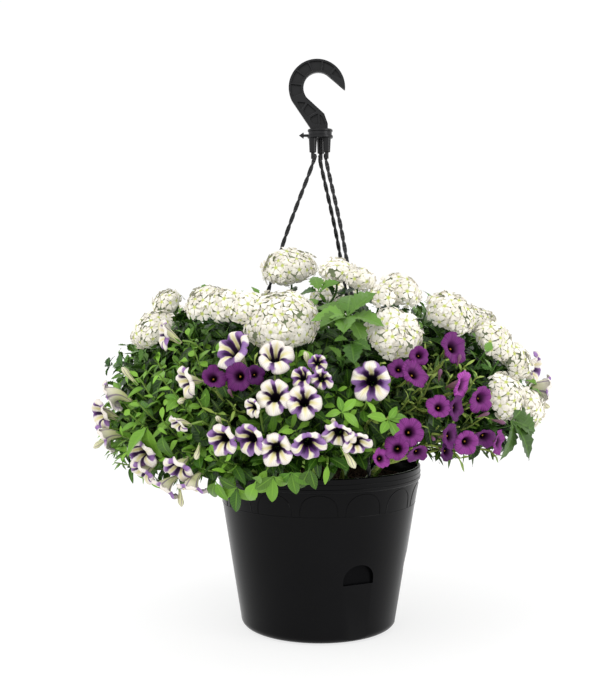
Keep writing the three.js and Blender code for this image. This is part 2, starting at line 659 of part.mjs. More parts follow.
// Flower clusters: each is one solid, with a stalk end behind every second bloom in it
function addCluster(name, colour, blooms) {
  let body = null;
  const stalks = [];
  blooms.forEach(({ geometry, matrix, depth, direction }, order) => {
    const bloom = solid(geometry.applyMatrix4(matrix));
    body = body ? body.add(bloom) : bloom;
    const centre = new THREE.Vector3().setFromMatrixPosition(matrix);
    if (order % 2 === 0) stalks.push({ end: centre.addScaledVector(direction, -depth - GAP), direction });
  });
  pieces.set(name, { body, colour });
  flowers.set(name, stalks);
  return inOnePiece(body);
}

// Blooms given as azimuth and height close up round their middle until they hold together
function addJoined(name, colour, list, shape) {
  const middle = [0, 1].map((i) => list.reduce((sum, bloom) => sum + bloom[i], 0) / list.length);
  const seed = name.length * 31 + list.length;
  for (let spread = 1; spread > 0.6; spread -= 0.03) {
    const random = draws(seed);
    const blooms = list.map(([azimuth, height, ...rest]) => {
      const place = [azimuth, height].map((value, i) => middle[i] + (value - middle[i]) * spread);
      return shape(domeSite(...place), random, ...rest);
    });
    if (addCluster(name, colour, blooms)) return;
  }
  throw new Error(`${name} does not hold together`);
}

for (const [name, heads] of Object.entries(VERBENA_HEADS)) {
  addJoined(name, 'verbena', heads, (site, random, radius) => {
    const florets = Math.round(radius * 0.23 + 1.8);
    const centre = site.point.clone().addScaledVector(site.out, -radius * HEAD_FLAT);
    const matrix = facing(site.out, centre).multiply(new THREE.Matrix4().makeScale(1, 1, HEAD_FLAT));
    const geometry = headRelief(radius, florets, random);
    return { geometry, matrix, depth: radius * HEAD_DEPTH * HEAD_FLAT, direction: site.out };
  });
}

const FUNNELS = {
  petunia: { list: PETUNIA_BLOOMS, rim: 15, throat: 0.16, tube: 0.75 },
  calibrachoa: { list: CALIBRACHOA_BLOOMS, rim: 10, throat: 0.14, tube: 0.7 },
};
for (const [kind, { list, rim, throat, tube }] of Object.entries(FUNNELS)) {
  for (const [name, blooms] of Object.entries(list)) {
    addJoined(name, kind, blooms, (site, random, across, turn = 0, tilt = 0) => {
      const direction = bloomDirection(site, turn, tilt);
      const matrix = facing(direction, site.point, random() * 72);
      const rimPoints = across < SMALL_BLOOM ? 10 : rim;
      const geometry = funnel({ across, tube: across * tube, throat: across * throat, rimPoints });
      return { geometry, matrix, depth: across * tube, direction };
    });
  }
}

pieces.set('pot', { body: makePot(), colour: 'blackPlastic' });
pieces.set('soil', { body: makeSoil(SPRAYS), colour: 'soil' });
pieces.set('hanger_hook', { body: makeHook(), colour: 'blackPlastic' });
LEG_AZIMUTHS.forEach((azimuth, i) => {
  const body = makeLeg(azimuth, LEG_BOWS[i]);
  pieces.set(`hanger_leg_${'abc'[i]}`, { body, colour: 'blackPlastic' });
});

// Stems: a trunk from its hole in the soil to the fork, then a branch to each flower
function stem(points, radius, sides, steps) {
  const turn = 2 * Math.PI / sides;
  const corner = (i) => [radius * Math.cos(turn * i), radius * Math.sin(turn * i)];
  return strip(points, Array.from({ length: sides }, (_, i) => corner(i)), steps);
}
const twigs = [];
for (const spray of SPRAYS) {
  const { azimuth, foot, fork: [reach, height] } = spray;
  const middle = polar(azimuth, foot + 0.45 * (reach - foot), SOIL_TOP + 0.75 * (height - SOIL_TOP));
  const fork = polar(azimuth, reach, height);
  const levels = [SOIL_TOP - HOLE_DEPTH + GAP, SOIL_TOP - 2, SOIL_TOP + 9];
  const trunk = [...levels.map((z) => polar(azimuth, foot, z)), middle, fork];
  const lastStep = new THREE.CatmullRomCurve3(trunk).getPointAt(1 - 1 / TRUNK_STEPS);
  let body = stem(trunk, TRUNK_RADIUS, 3, TRUNK_STEPS);
  const ends = spray.feeds.flatMap((name) => flowers.get(name));
  for (const [shootAzimuth, shootHeight] of spray.shoots) {
    const site = domeSite(shootAzimuth, shootHeight);
    const end = site.point.clone().addScaledVector(site.out, -SHOOT_INSET);
    ends.push({ end, direction: site.out, shoot: true });
  }
  ends.sort((p, q) => q.end.z - p.end.z);
  ends.forEach(({ end, direction, shoot }, order) => {
    const start = fork.clone().lerp(lastStep, 0.05 + 0.9 * order / ends.length);
    const lead = end.clone().addScaledVector(direction, -STALK_LEAD);
    const half = start.clone().lerp(lead, 0.55);
    half.z += 0.05 * start.distanceTo(end);
    const path = [start, half, lead, end];
    body = body.add(stem(path, BRANCH_RADIUS, 3, BRANCH_STEPS));
    twigs.push({ spray, path: new THREE.CatmullRomCurve3(path), shoot });
  });
  pieces.set(spray.name, { body, colour: `${spray.kind}Leaf` });
}

// Leaves: along the twigs at the golden angle, left out where one would touch another piece
const LEAF_STATIONS = [0.93, 0.72];
const LEAVES_A_SPRAY = 2;
const MOST_LEAVES = 4;
const LEAF_LEAST = 0.85;
const LEAF_RANGE = 0.3;
const LEAF_MARGIN = 0.8;
const ROOT_LENGTH = 5;
const GOLDEN = 137.5;
function placeOnTwig(path, station) {
  const step = Math.min(Math.floor(station * BRANCH_STEPS), BRANCH_STEPS - 1);
  const from = path.getPointAt(step / BRANCH_STEPS);
  const to = path.getPointAt((step + 1) / BRANCH_STEPS);
  const at = from.clone().lerp(to, station * BRANCH_STEPS - step);
  return { at, along: to.sub(from).normalize() };
}
function meet(one, other) {
  return one.intersect(other).getMesh().triVerts.length > 0;
}
function touches(body, own) {
  return [...pieces].some(([name, piece]) => name !== own && meet(piece.body, body));
}
const random = draws(7);
const leafCount = new Map(SPRAYS.map((spray) => [spray, 0]));
for (const station of LEAF_STATIONS) {
  twigs.forEach(({ spray, path, shoot }, order) => {
    const copies = shoot && station > 0.9 ? 3 : 1;
    const most = Math.min(LEAVES_A_SPRAY + spray.shoots.length, MOST_LEAVES);
    for (let k = 0; k < copies && leafCount.get(spray) < most; k += 1) {
      const { at, along } = placeOnTwig(path, station - 0.06 * k);
      const spin = GOLDEN * (order + k) + 360 * random() / 6 + 300 * station;
      const across = new THREE.Vector3().crossVectors(along, new THREE.Vector3(0, 0, 1)).normalize();
      across.applyAxisAngle(along, radians(shoot && copies > 1 ? 120 * k : spin));
      const x = along.clone().multiplyScalar(0.55).add(across).normalize();
      const outward = at.clone().setZ(at.z - DOME_LEVEL + 60).normalize();
      const y = new THREE.Vector3().crossVectors(outward, x).normalize();
      const z = new THREE.Vector3().crossVectors(x, y);
      const matrix = new THREE.Matrix4().makeBasis(x, y, z).setPosition(at);
      const size = LEAF_LEAST + LEAF_RANGE * random();
      const form = { ...LEAVES[spray.kind], length: LEAVES[spray.kind].length * size };
      const grown = leafBlade(form, BLADE_THICK + 2 * LEAF_MARGIN, LEAF_MARGIN);
      const test = solid(grown.applyMatrix4(matrix));
      const beyondRoot = solid(leafBlade(form, BLADE_THICK, 0, ROOT_LENGTH).applyMatrix4(matrix));
      if (meet(beyondRoot, pieces.get(spray.name).body) || touches(test, spray.name)) continue;
      const piece = pieces.get(spray.name);
      piece.body = piece.body.add(solid(leafBlade(form).applyMatrix4(matrix)));
      leafCount.set(spray, leafCount.get(spray) + 1);
    }
  });
}

const basket = new THREE.Group();
for (const [name, { body, colour }] of pieces) {
  const mesh = new THREE.Mesh(geometryOf(body), new THREE.MeshStandardMaterial(COLOURS[colour]));
  mesh.name = name;
  basket.add(mesh);
}
export default basket;
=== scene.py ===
import math
import random

import bpy
import numpy as np
from mathutils import Euler, Matrix, Quaternion, Vector, noise


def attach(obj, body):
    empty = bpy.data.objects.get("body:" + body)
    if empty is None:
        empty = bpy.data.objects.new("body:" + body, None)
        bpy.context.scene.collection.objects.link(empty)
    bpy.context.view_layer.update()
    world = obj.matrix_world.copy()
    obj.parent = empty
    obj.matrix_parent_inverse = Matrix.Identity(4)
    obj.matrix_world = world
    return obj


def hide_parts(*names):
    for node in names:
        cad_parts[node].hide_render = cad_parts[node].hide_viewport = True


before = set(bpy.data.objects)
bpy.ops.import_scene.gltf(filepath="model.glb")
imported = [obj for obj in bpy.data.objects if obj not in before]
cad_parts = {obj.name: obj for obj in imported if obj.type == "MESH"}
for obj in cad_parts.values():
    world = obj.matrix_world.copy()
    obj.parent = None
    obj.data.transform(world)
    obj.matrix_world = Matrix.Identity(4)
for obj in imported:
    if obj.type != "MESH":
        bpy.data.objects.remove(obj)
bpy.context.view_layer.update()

# ---------------------------------------------------------------------------------------
# The pot: one moulding of thin black polypropylene, tapered, with a stepped rim band, arched
# overflow niches low in its wall, and fine raised lines and arches round its upper wall.
# Three ears inside the rim take the feet of the hanger.
# ---------------------------------------------------------------------------------------
MM = 0.001
POT_SIDES = 208
POT_HEIGHT = 184
POT_WALL = 2.2
POT_FLOOR = 3
RIM_RADIUS = 115
RIM_BAND = 16
RIM_STEP = 1.6
RIM_THICKER = 0.6
BASE_RADIUS = 79
BASE_FILLET, FILLET_STEPS = 9.5, 8
WALL_LEVELS = range(20, 168, 14)
NICHE_AZIMUTHS = (26, 86, 146, 206)
NICHE_WIDTH, NICHE_BOTTOM, NICHE_SPRING, NICHE_TOP, NICHE_DEPTH = 36, 66, 72, 88, 6.5
PANEL_WIDTH, PANEL_BOTTOM, PANEL_CORNER, PANEL_DEPTH = 45, 3, 3, 1.3
CUTTER_REACH = 20
SHADE_FROM, SHADE_EDGE = 1.2, 0.3
DRAIN_CIRCLE, DRAIN_RADIUS, DRAIN_HOLES = 52, 5, 4
LEG_AZIMUTHS = (-90, 30, 150)
LEG_CIRCLE, EAR_WIDTH, EAR_TOP, EAR_THICK, EAR_HOLE = 105, 16, 180, 3, 2.8
EAR_CORNER, EAR_IN_RIM, HOLE_SIDES = 3, 1.5, 20
ARCHES, ARCH_WIDE, ARCH_LOW, ARCH_HIGH, ARCH_FULLNESS = 14, 40, 142.5, 166, 0.62
LINE_LEVELS = (142, 172, 177)
BEAD_WIDE, LINE_SUNK, ARCH_SUNK = 1.1, 0.15, 0.12
LINE_STEPS, ARCH_STEPS = 240, 36


def polar(azimuth, radius, height):
    """Point in metres at an azimuth from the front, from a radius and a height in millimetres."""
    a = math.radians(azimuth)
    return Vector((radius * math.sin(a), -radius * math.cos(a), height)) * MM


def colour(text):
    """Linear colour from a six-digit value."""
    parts = [int(text[i:i + 2], 16) / 255 for i in (0, 2, 4)]
    return tuple(p / 12.92 if p <= 0.04045 else ((p + 0.055) / 1.055) ** 2.4 for p in parts) + (1,)


def place(tree, kind, inputs=(), **settings):
    """Adds a node to a tree; inputs gives its sockets a value, a node or a node's output."""
    node = tree.nodes.new(kind)
    for name, value in settings.items():
        setattr(node, name, value)
    for key, value in dict(inputs).items():
        if isinstance(value, bpy.types.Node):
            value = value.outputs[0]
        if isinstance(value, bpy.types.NodeSocket):
            tree.links.new(value, node.inputs[key])
        else:
            node.inputs[key].default_value = value
    return node


def finish_material(name, roughness, specular, glow=None):
    """New material whose shader has these fixed values, and its tree; glow is a colour and a strength."""
    made = bpy.data.materials.new(name)
    made.use_nodes = True
    sockets = made.node_tree.nodes["Principled BSDF"].inputs
    sockets["Roughness"].default_value = roughness
    sockets["Specular IOR Level"].default_value = specular
    if glow:
        sockets["Emission Color"].default_value, sockets["Emission Strength"].default_value = glow
    return made, made.node_tree


def feed(tree, name, output):
    """Joins an output to an input of the material's shader."""
    tree.links.new(output, tree.nodes["Principled BSDF"].inputs[name])


def read_value(tree, name):
    """Value that a piece keeps at each of its points or faces."""
    return place(tree, "ShaderNodeAttribute", attribute_name=name).outputs["Fac"]


def mottled(tree, scale, detail, roughness=0.5):
    """Cloudy value in the piece's own coordinates."""
    spot = place(tree, "ShaderNodeTexCoord").outputs["Object"]
    sockets = {"Vector": spot, "Scale": scale, "Detail": detail, "Roughness": roughness}
    return place(tree, "ShaderNodeTexNoise", sockets).outputs["Fac"]


def between(tree, value, low, high, start=0.0, end=1.0):
    """Runs from start to end while a value runs from low to high, and stays there beyond."""
    sockets = {"Value": value, 1: low, 2: high, 3: start, 4: end}
    return place(tree, "ShaderNodeMapRange", sockets).outputs[0]


def bumped(tree, height, strength, distance):
    """Fine relief of a surface."""
    relief = place(tree, "ShaderNodeBump", {"Height": height, "Strength": strength, "Distance": distance})
    feed(tree, "Normal", relief.outputs[0])


def ramp(tree, factor, *stops):
    """Colour ramp from (place, colour) pairs."""
    node = place(tree, "ShaderNodeValToRGB", {"Fac": factor})
    band = node.color_ramp
    while len(band.elements) < len(stops):
        band.elements.new(0.5)
    for element, (position, value) in zip(band.elements, stops):
        element.position = position
        element.color = value
    return node.outputs["Color"]


def black_plastic(name, dark, light, rough, gloss, grain):
    """Black moulded plastic with faint scuffs."""
    made, tree = finish_material(name, rough, gloss)
    scuff = mottled(tree, 14, 5)
    feed(tree, "Base Color", ramp(tree, scuff, (0.3, dark), (0.75, light)))
    feed(tree, "Roughness", between(tree, scuff, 0.0, 1.0, rough - 0.05, rough + 0.09))
    bumped(tree, mottled(tree, grain, 2), 0.05, 0.0004)
    return made


def link(name, mesh):
    """Object at the origin with this mesh."""
    made = bpy.data.objects.new(name, mesh)
    bpy.context.scene.collection.objects.link(made)
    return made


def shaped(name, points, faces, smooth=True):
    """Object from points and faces."""
    mesh = bpy.data.meshes.new(name)
    mesh.from_pydata([tuple(p) for p in points], [], faces)
    mesh.validate()
    if smooth:
        mesh.shade_smooth()
    mesh.update()
    return link(name, mesh)


def turned(name, profile, sides):
    """Closed solid of revolution from radius and height in millimetres, both ends on the axis."""
    points, faces, rings = [], [], []
    for radius, height in profile:
        if radius == 0:
            rings.append([len(points)])
            points.append(Vector((0, 0, height * MM)))
        else:
            rings.append(list(range(len(points), len(points) + sides)))
            points += [polar(360 * i / sides, radius, height) for i in range(sides)]
    for low, high in zip(rings, rings[1:]):
        for i in range(sides):
            j = (i + 1) % sides
            if len(low) == 1:
                faces.append((low[0], high[j], high[i]))
            elif len(high) == 1:
                faces.append((low[i], low[j], high[0]))
            else:
                faces.append((low[i], low[j], high[j], high[i]))
    return shaped(name, points, faces)


def rod(name, radius, low, high, sides):
    """Round bar between two heights."""
    return turned(name, [(0, low), (radius, low), (radius, high), (0, high)], sides)


def moved(piece, offset):
    """Piece with its mesh shifted by an offset in metres."""
    piece.data.transform(Matrix.Translation(offset))
    return piece


def prism(name, outline, near, far, azimuth):
    """Block with an outline across and up, between two distances from the axis, turned to an azimuth.
    A distance is a number or a function of height."""
    turn = Matrix.Rotation(math.radians(azimuth), 3, "Z")
    reach = [d if callable(d) else (lambda z, d=d: d) for d in (near, far)]
    points = [turn @ (Vector((x, -r(z), z)) * MM) for r in reach for x, z in outline]
    n = len(outline)
    faces = [tuple(range(n - 1, -1, -1)), tuple(range(n, 2 * n))]
    faces += [(i, (i + 1) % n, n + (i + 1) % n, n + i) for i in range(n)]
    return shaped(name, points, faces, smooth=False)


def cleared(pieces):
    """Takes shapes away that have done their work."""
    for piece in pieces:
        bpy.data.objects.remove(piece)


def carved(piece, operation, tools):
    """Piece after its tools are cut from it or joined to it; the tools go."""
    for tool in tools:
        change = piece.modifiers.new("change", "BOOLEAN")
        change.operation, change.object, change.solver = operation, tool, "EXACT"
    baked(piece)
    cleared(tools)
    return piece


def baked(piece):
    """Piece with its modifiers applied to its mesh."""
    state = bpy.context.evaluated_depsgraph_get()
    mesh = bpy.data.meshes.new_from_object(piece.evaluated_get(state), preserve_all_data_layers=True, depsgraph=state)
    piece.modifiers.clear()
    piece.data = mesh
    return piece


def dress(piece, material, angle=None):
    """Gives a piece its material, and crisp edges past an angle."""
    piece.data.materials.clear()
    piece.data.materials.append(material)
    if angle is not None:
        piece.data.shade_smooth()
        piece.data.set_sharp_from_angle(angle=math.radians(angle))
    return piece


def join(name, pieces):
    """One object from several."""
    with bpy.context.temp_override(active_object=pieces[0], selected_editable_objects=pieces):
        bpy.ops.object.join()
    pieces[0].name = pieces[0].data.name = name
    return pieces[0]


def hand_over(piece, slot, *nodes):
    """Says which body a piece rides on and which solids it stands for, if any; the slot is not used."""
    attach(piece, "root")
    if nodes:
        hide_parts(*nodes)


def wall_radius(height):
    """Radius of the pot's outer wall at a height."""
    low, high = BASE_RADIUS + BASE_FILLET, RIM_RADIUS - RIM_STEP
    return low + (high - low) * (height - BASE_FILLET) / (POT_HEIGHT - RIM_BAND - BASE_FILLET)


def niche_outline(margin, steps=20):
    """Outline of a niche: a flat sill under an arch."""
    half = NICHE_WIDTH / 2 + margin
    crown = NICHE_TOP + margin - NICHE_SPRING
    arch = [(half * math.cos(math.pi * i / steps), NICHE_SPRING + crown * math.sin(math.pi * i / steps))
            for i in range(steps + 1)]
    return [(-half, NICHE_BOTTOM - margin), (half, NICHE_BOTTOM - margin)] + arch


def rounded(corners, radius, steps=4):
    """Polygon with each corner cut to a small arc."""
    made = []
    for i, corner in enumerate(corners):
        here = Vector(corner)
        before, after = Vector(corners[i - 1]) - here, Vector(corners[(i + 1) % len(corners)]) - here
        cut = min(radius, before.length * 0.45, after.length * 0.45)
        start, end = here + before.normalized() * cut, here + after.normalized() * cut
        for k in range(steps + 1):
            t = k / steps
            made.append(tuple((1 - t) ** 2 * start + 2 * t * (1 - t) * here + t * t * end))
    return made


def oblong(width, low, high, corner):
    """Oblong about the middle with rounded corners."""
    return rounded([(-width / 2, low), (width / 2, low), (width / 2, high), (-width / 2, high)], corner)


pot_plastic = black_plastic("black pot plastic", colour("040405"), colour("08080a"), 0.22, 0.1, 900)
tree = pot_plastic.node_tree
# Faces inside the niches reflect less: painted shade in the recesses.
feed(tree, "Specular IOR Level", between(tree, read_value(tree, "niche"), 0.0, 1.0, 0.1, 0.04))

band_bottom = POT_HEIGHT - RIM_BAND
outside = [(0, 0), (BASE_RADIUS, 0)]
for i in range(1, FILLET_STEPS + 1):
    a = math.pi / 2 * i / FILLET_STEPS
    outside.append((BASE_RADIUS + BASE_FILLET * math.sin(a), BASE_FILLET * (1 - math.cos(a))))
outside += [(wall_radius(z), z) for z in WALL_LEVELS]
outside += [(wall_radius(band_bottom), band_bottom), (RIM_RADIUS - 0.4, band_bottom + RIM_STEP * 0.6)]
outside += [(RIM_RADIUS, band_bottom + RIM_STEP), (RIM_RADIUS, POT_HEIGHT - 1), (RIM_RADIUS - 1, POT_HEIGHT)]
outside.append((0, POT_HEIGHT))
rim_inside = RIM_RADIUS - POT_WALL - RIM_THICKER
cavity = [(0, POT_FLOOR), (BASE_RADIUS, POT_FLOOR), (wall_radius(BASE_FILLET) - POT_WALL, BASE_FILLET + 1),
          (wall_radius(band_bottom) - POT_WALL, band_bottom), (rim_inside, band_bottom + RIM_STEP),
          (rim_inside, POT_HEIGHT + 1), (0, POT_HEIGHT + 1)]
niche_middle = wall_radius((NICHE_BOTTOM + NICHE_TOP) / 2)
niche_back, cutter_end = niche_middle - NICHE_DEPTH, niche_middle + CUTTER_REACH
panel = oblong(PANEL_WIDTH, PANEL_BOTTOM, NICHE_BOTTOM + 1, PANEL_CORNER)
niche_walls = [prism("niche wall", niche_outline(POT_WALL), niche_back - POT_WALL, cutter_end, a)
               for a in NICHE_AZIMUTHS]
cutters = [carved(turned("hollow", cavity, POT_SIDES), "DIFFERENCE", niche_walls)]
cutters += [prism("niche", niche_outline(0), niche_back, cutter_end, a) for a in NICHE_AZIMUTHS]
cutters += [prism("panel", panel, lambda z: wall_radius(z) - PANEL_DEPTH, cutter_end, a) for a in NICHE_AZIMUTHS]
cutters += [moved(rod("drain", DRAIN_RADIUS, -1, POT_FLOOR + 1, 24), polar(i * 360 / DRAIN_HOLES, DRAIN_CIRCLE, 0))
            for i in range(DRAIN_HOLES)]
pot = carved(turned("pot_body", outside, POT_SIDES), "DIFFERENCE", cutters)
plan = oblong(EAR_WIDTH, LEG_CIRCLE - EAR_WIDTH / 2, RIM_RADIUS - EAR_IN_RIM, EAR_CORNER)
n = len(plan)
sides = [(i, n + i, n + (i + 1) % n, (i + 1) % n) for i in range(n)]
ears, ear_holes = [], []
for azimuth in LEG_AZIMUTHS:
    turn = Matrix.Rotation(math.radians(azimuth), 3, "Z")
    corners = [turn @ (Vector((x, -y, z)) * MM) for z in (EAR_TOP - EAR_THICK, EAR_TOP) for x, y in plan]
    ears.append(shaped("ear", corners, [tuple(range(n)), tuple(range(2 * n - 1, n - 1, -1))] + sides, smooth=False))
    hole = rod("ear hole", EAR_HOLE, EAR_TOP - 3 * EAR_THICK, EAR_TOP + 3 * EAR_THICK, HOLE_SIDES)
    ear_holes.append(moved(hole, polar(azimuth, LEG_CIRCLE, 0)))
pot = carved(carved(pot, "UNION", ears), "DIFFERENCE", ear_holes)


def painted_niche_shade(middle):
    """1 for a face that lies within a niche, where the pot's material paints shade, and 0 elsewhere."""
    for azimuth in NICHE_AZIMUTHS:
        seen = Matrix.Rotation(math.radians(-azimuth), 3, "Z") @ middle / MM
        sunk = wall_radius(seen.z) - math.hypot(seen.x, seen.y)
        across = abs(seen.x) < NICHE_WIDTH / 2 + SHADE_EDGE
        level = NICHE_BOTTOM - SHADE_EDGE < seen.z < NICHE_TOP + SHADE_EDGE
        if across and level and SHADE_FROM < sunk < NICHE_DEPTH + 1:
            return 1.0
    return 0.0


shade = pot.data.attributes.new("niche", "FLOAT", "FACE")
shade.data.foreach_set("value", [painted_niche_shade(face.center) for face in pot.data.polygons])


def node_tree(name, **sockets):
    """Geometry tree with a geometry input and output, and further inputs as kind and names."""
    tree = bpy.data.node_groups.new(name, "GeometryNodeTree")
    tree.interface.new_socket("Geometry", in_out="INPUT", socket_type="NodeSocketGeometry")
    tree.interface.new_socket("Geometry", in_out="OUTPUT", socket_type="NodeSocketGeometry")
    for kind, labels in sockets.items():
        for label in labels:
            tree.interface.new_socket(label, in_out="INPUT", socket_type="NodeSocket" + kind)
    return tree, tree.nodes.new("NodeGroupInput").outputs, tree.nodes.new("NodeGroupOutput")


def grown(piece, tree, **values):
    """Piece made by a geometry tree; the values go to its inputs by their identifiers."""
    modifier = piece.modifiers.new("growth", "NODES")
    modifier.node_group = tree
    for item in tree.interface.items_tree:
        key = item.name.lower().replace(" ", "_")
        if item.in_out == "INPUT" and key in values:
            modifier[item.identifier] = values[key]
    return baked(piece)


def lines(name, runs, **attributes):
    """Object of bare edges along runs of points, with a value of each attribute at every point."""
    points = [p for run in runs for p in run]
    edges, at = [], 0
    for run in runs:
        edges += [(i, i + 1) for i in range(at, at + len(run) - 1)]
        at += len(run)
    mesh = bpy.data.meshes.new(name)
    mesh.from_pydata([tuple(p) for p in points], edges, [])
    for key, values in attributes.items():
        mesh.attributes.new(key, "FLOAT", "POINT").data.foreach_set("value", list(values))
    return link(name, mesh)


def finish_tree(tree, out, material, *parts):
    """Ends a geometry tree: its parts joined, made real and given their material."""
    whole = place(tree, "GeometryNodeJoinGeometry")
    for part in parts:
        tree.links.new(part.outputs[0], whole.inputs[0])
    real = place(tree, "GeometryNodeRealizeInstances", {0: whole})
    done = place(tree, "GeometryNodeSetMaterial", {"Geometry": real, "Material": material})
    tree.links.new(done.outputs[0], out.inputs[0])


bead_tree, given, out = node_tree("raised beads along lines", Float=["Bead radius"], Material=["Material"])
run = place(bead_tree, "GeometryNodeMeshToCurve", {"Mesh": given["Geometry"]})
ring = place(bead_tree, "GeometryNodeCurvePrimitiveCircle", {"Resolution": 6, "Radius": given["Bead radius"]})
bead = place(bead_tree, "GeometryNodeCurveToMesh", {"Curve": run, "Profile Curve": ring, "Fill Caps": True})
finish_tree(bead_tree, out, given["Material"], bead)

bead_runs = []
for level in LINE_LEVELS:
    radius = (wall_radius(level) if level < band_bottom else RIM_RADIUS) - LINE_SUNK
    bead_runs.append([polar(360 * i / LINE_STEPS, radius, level) for i in range(LINE_STEPS + 1)])
for k in range(ARCHES):
    arch = []
    for i in range(ARCH_STEPS + 1):
        a = math.pi * i / ARCH_STEPS
        height = ARCH_LOW + (ARCH_HIGH - ARCH_LOW) * math.sin(a) ** ARCH_FULLNESS
        radius = wall_radius(height)
        aside = math.degrees(ARCH_WIDE / 2 * math.cos(a) / radius)
        arch.append(polar(k * 360 / ARCHES - aside, radius - ARCH_SUNK, height))
    bead_runs.append(arch)
beads = grown(lines("beads", bead_runs), bead_tree, bead_radius=BEAD_WIDE / 2 * MM, material=pot_plastic)
pot = join("pot_moulding", [dress(pot, pot_plastic, 35), dress(beads, pot_plastic, 60)])
hand_over(pot, "pot_plastic", "pot")

# ---------------------------------------------------------------------------------------
# The soil: dark peat potting mix that fills the pot to 2 cm below its rim, poured in and
# pressed lightly, with loose crumbs of peat and bark on top.
# ---------------------------------------------------------------------------------------
SOIL_TOP = 164
CRUMBS, CRUMB_CIRCLE, CRUMB_LIFT, CRUMB_SIZES = 900, 106, 0.6, (1.2, 4.5)

soil_mix, tree = finish_material("peat potting mix", 0.95, 0.2)
lumps = mottled(tree, 220, 8, 0.7)
feed(tree, "Base Color", ramp(tree, lumps, (0.3, colour("150d08")), (0.55, colour("2c1c12")), (0.8, colour("4a3424"))))
bumped(tree, lumps, 0.9, 0.002)
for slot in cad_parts["soil"].material_slots:
    slot.material = soil_mix


def varied(tree, low, high, seed):
    """Random value for each point: a number, or a vector where low is one."""
    vector = isinstance(low, tuple)
    first, second, kind = (0, 1, "FLOAT_VECTOR") if vector else (2, 3, "FLOAT")
    node = place(tree, "FunctionNodeRandomValue", {first: low, second: high, "Seed": seed}, data_type=kind)
    return node.outputs[0 if vector else 1]


draw = random.Random(3)
crumb_points = []
for _ in range(CRUMBS):
    radius = CRUMB_CIRCLE * math.sqrt(draw.random())
    crumb_points.append(polar(draw.uniform(0, 360), radius, SOIL_TOP + CRUMB_LIFT))
crumb_shape = shaped("crumb", [(0.5, 0, 0), (-0.5, 0.1, 0), (0, 0.45, 0), (0.1, -0.5, 0), (0, 0, 0.4), (0, 0, -0.3)],
                     [(0, 2, 4), (2, 1, 4), (1, 3, 4), (3, 0, 4), (2, 0, 5), (1, 2, 5), (3, 1, 5), (0, 3, 5)])
crumb_tree, given, out = node_tree("crumbs of soil", Object=["Crumb"], Float=["Smallest", "Largest"],
                                   Int=["Seed"], Material=["Material"])
size = varied(crumb_tree, given["Smallest"], given["Largest"], given["Seed"])
turn = varied(crumb_tree, (0, 0, 0), (6.3, 6.3, 6.3), given["Seed"])
shape = place(crumb_tree, "GeometryNodeObjectInfo", {"Object": given["Crumb"], "As Instance": True})
cloud = place(crumb_tree, "GeometryNodeMeshToPoints", {"Mesh": given["Geometry"]})
strewn = place(crumb_tree, "GeometryNodeInstanceOnPoints", {
    "Points": cloud, "Instance": shape.outputs["Geometry"], "Scale": size})
strewn = place(crumb_tree, "GeometryNodeRotateInstances", {"Instances": strewn, "Rotation": turn})
finish_tree(crumb_tree, out, given["Material"], strewn)
crumbs = grown(shaped("soil_crumbs", crumb_points, []), crumb_tree, crumb=crumb_shape,
               smallest=CRUMB_SIZES[0] * MM, largest=CRUMB_SIZES[1] * MM, seed=5, material=soil_mix)
hand_over(dress(crumbs, soil_mix), "soil")
cleared([crumb_shape])

# ---------------------------------------------------------------------------------------
# The hanger's hook and hub: one injection moulding in black plastic. The hook is an I-shaped
# bar, a thin web between flanges with ribs across it, and grows out of a round hub that has
# three sockets under it for the legs and a small barbed prong at its left.
# ---------------------------------------------------------------------------------------
HUB_X, HUB_RADIUS, HUB_BOTTOM, HUB_TOP = 1.2, 14.3, 549.5, 559.5
SOCKET_CIRCLE, SOCKET_RADIUS, SOCKET_LENGTH, SOCKET_DEPTH = 9, 4.6, 16, 9
HOOK_THICK, HOOK_WEB, HOOK_FLANGE = 9, 3, 2.4
HOOK_RADIUS, HOOK_CENTRE = 31.5, (-2.5, 605.5)
THROAT_RADIUS, THROAT_CENTRE = 17, (-1, 605.5)
LEG_TURN, PIN_RADIUS = 25, 2.1
RIB_STEP, RIB_GAP, RIB_FIRST = 27, 4, 200
PRONG = [(-12, 1.6), (-17, 1.8), (-17.5, -0.4), (-22.5, 3.2), (-17.5, 6.6), (-17, 4.4), (-12, 4.6)]
PRONG_THICK = 3.2
SHANK_HALF = 9.75
BORE_PLAY = 0.6
# Corners of the pockets in the shank, across and above the hub
SHANK_POCKETS = (((-24.5, 30), (-20, 22), (-15, 29)), ((-18, 20), (-12.5, 14), (-3, 19.5), (-13, 28)),
                 ((-10.5, 12), (-8, 7), (-1, 5), (-1.5, 17)), ((1, 5), (7, 5), (3.2, 14), (0.5, 16)))


def arc(centre, radius, start, end, steps):
    """Points on an arc, in millimetres across and up."""
    angles = [math.radians(start + (end - start) * i / steps) for i in range(steps + 1)]
    return [(centre[0] + radius * math.cos(a), centre[1] + radius * math.sin(a)) for a in angles]


def plate(name, outlines, thick, edge):
    """Upright plate from an outline and holes in it, with its edges rounded off."""
    curve = bpy.data.curves.new(name, "CURVE")
    curve.dimensions, curve.fill_mode = "2D", "BOTH"
    curve.extrude, curve.bevel_depth, curve.bevel_resolution = (thick / 2 - edge) * MM, edge * MM, 2
    curve.offset = -edge * MM
    for outline in outlines:
        spline = curve.splines.new("POLY")
        spline.points.add(len(outline) - 1)
        for point, (x, z) in zip(spline.points, outline):
            point.co = (x * MM, z * MM, 0, 1)
        spline.use_cyclic_u = True
    flat = link(name, curve)
    mesh = bpy.data.meshes.new_from_object(flat)
    cleared([flat])
    mesh.transform(Matrix.Rotation(math.pi / 2, 4, "X"))
    return link(name, mesh)


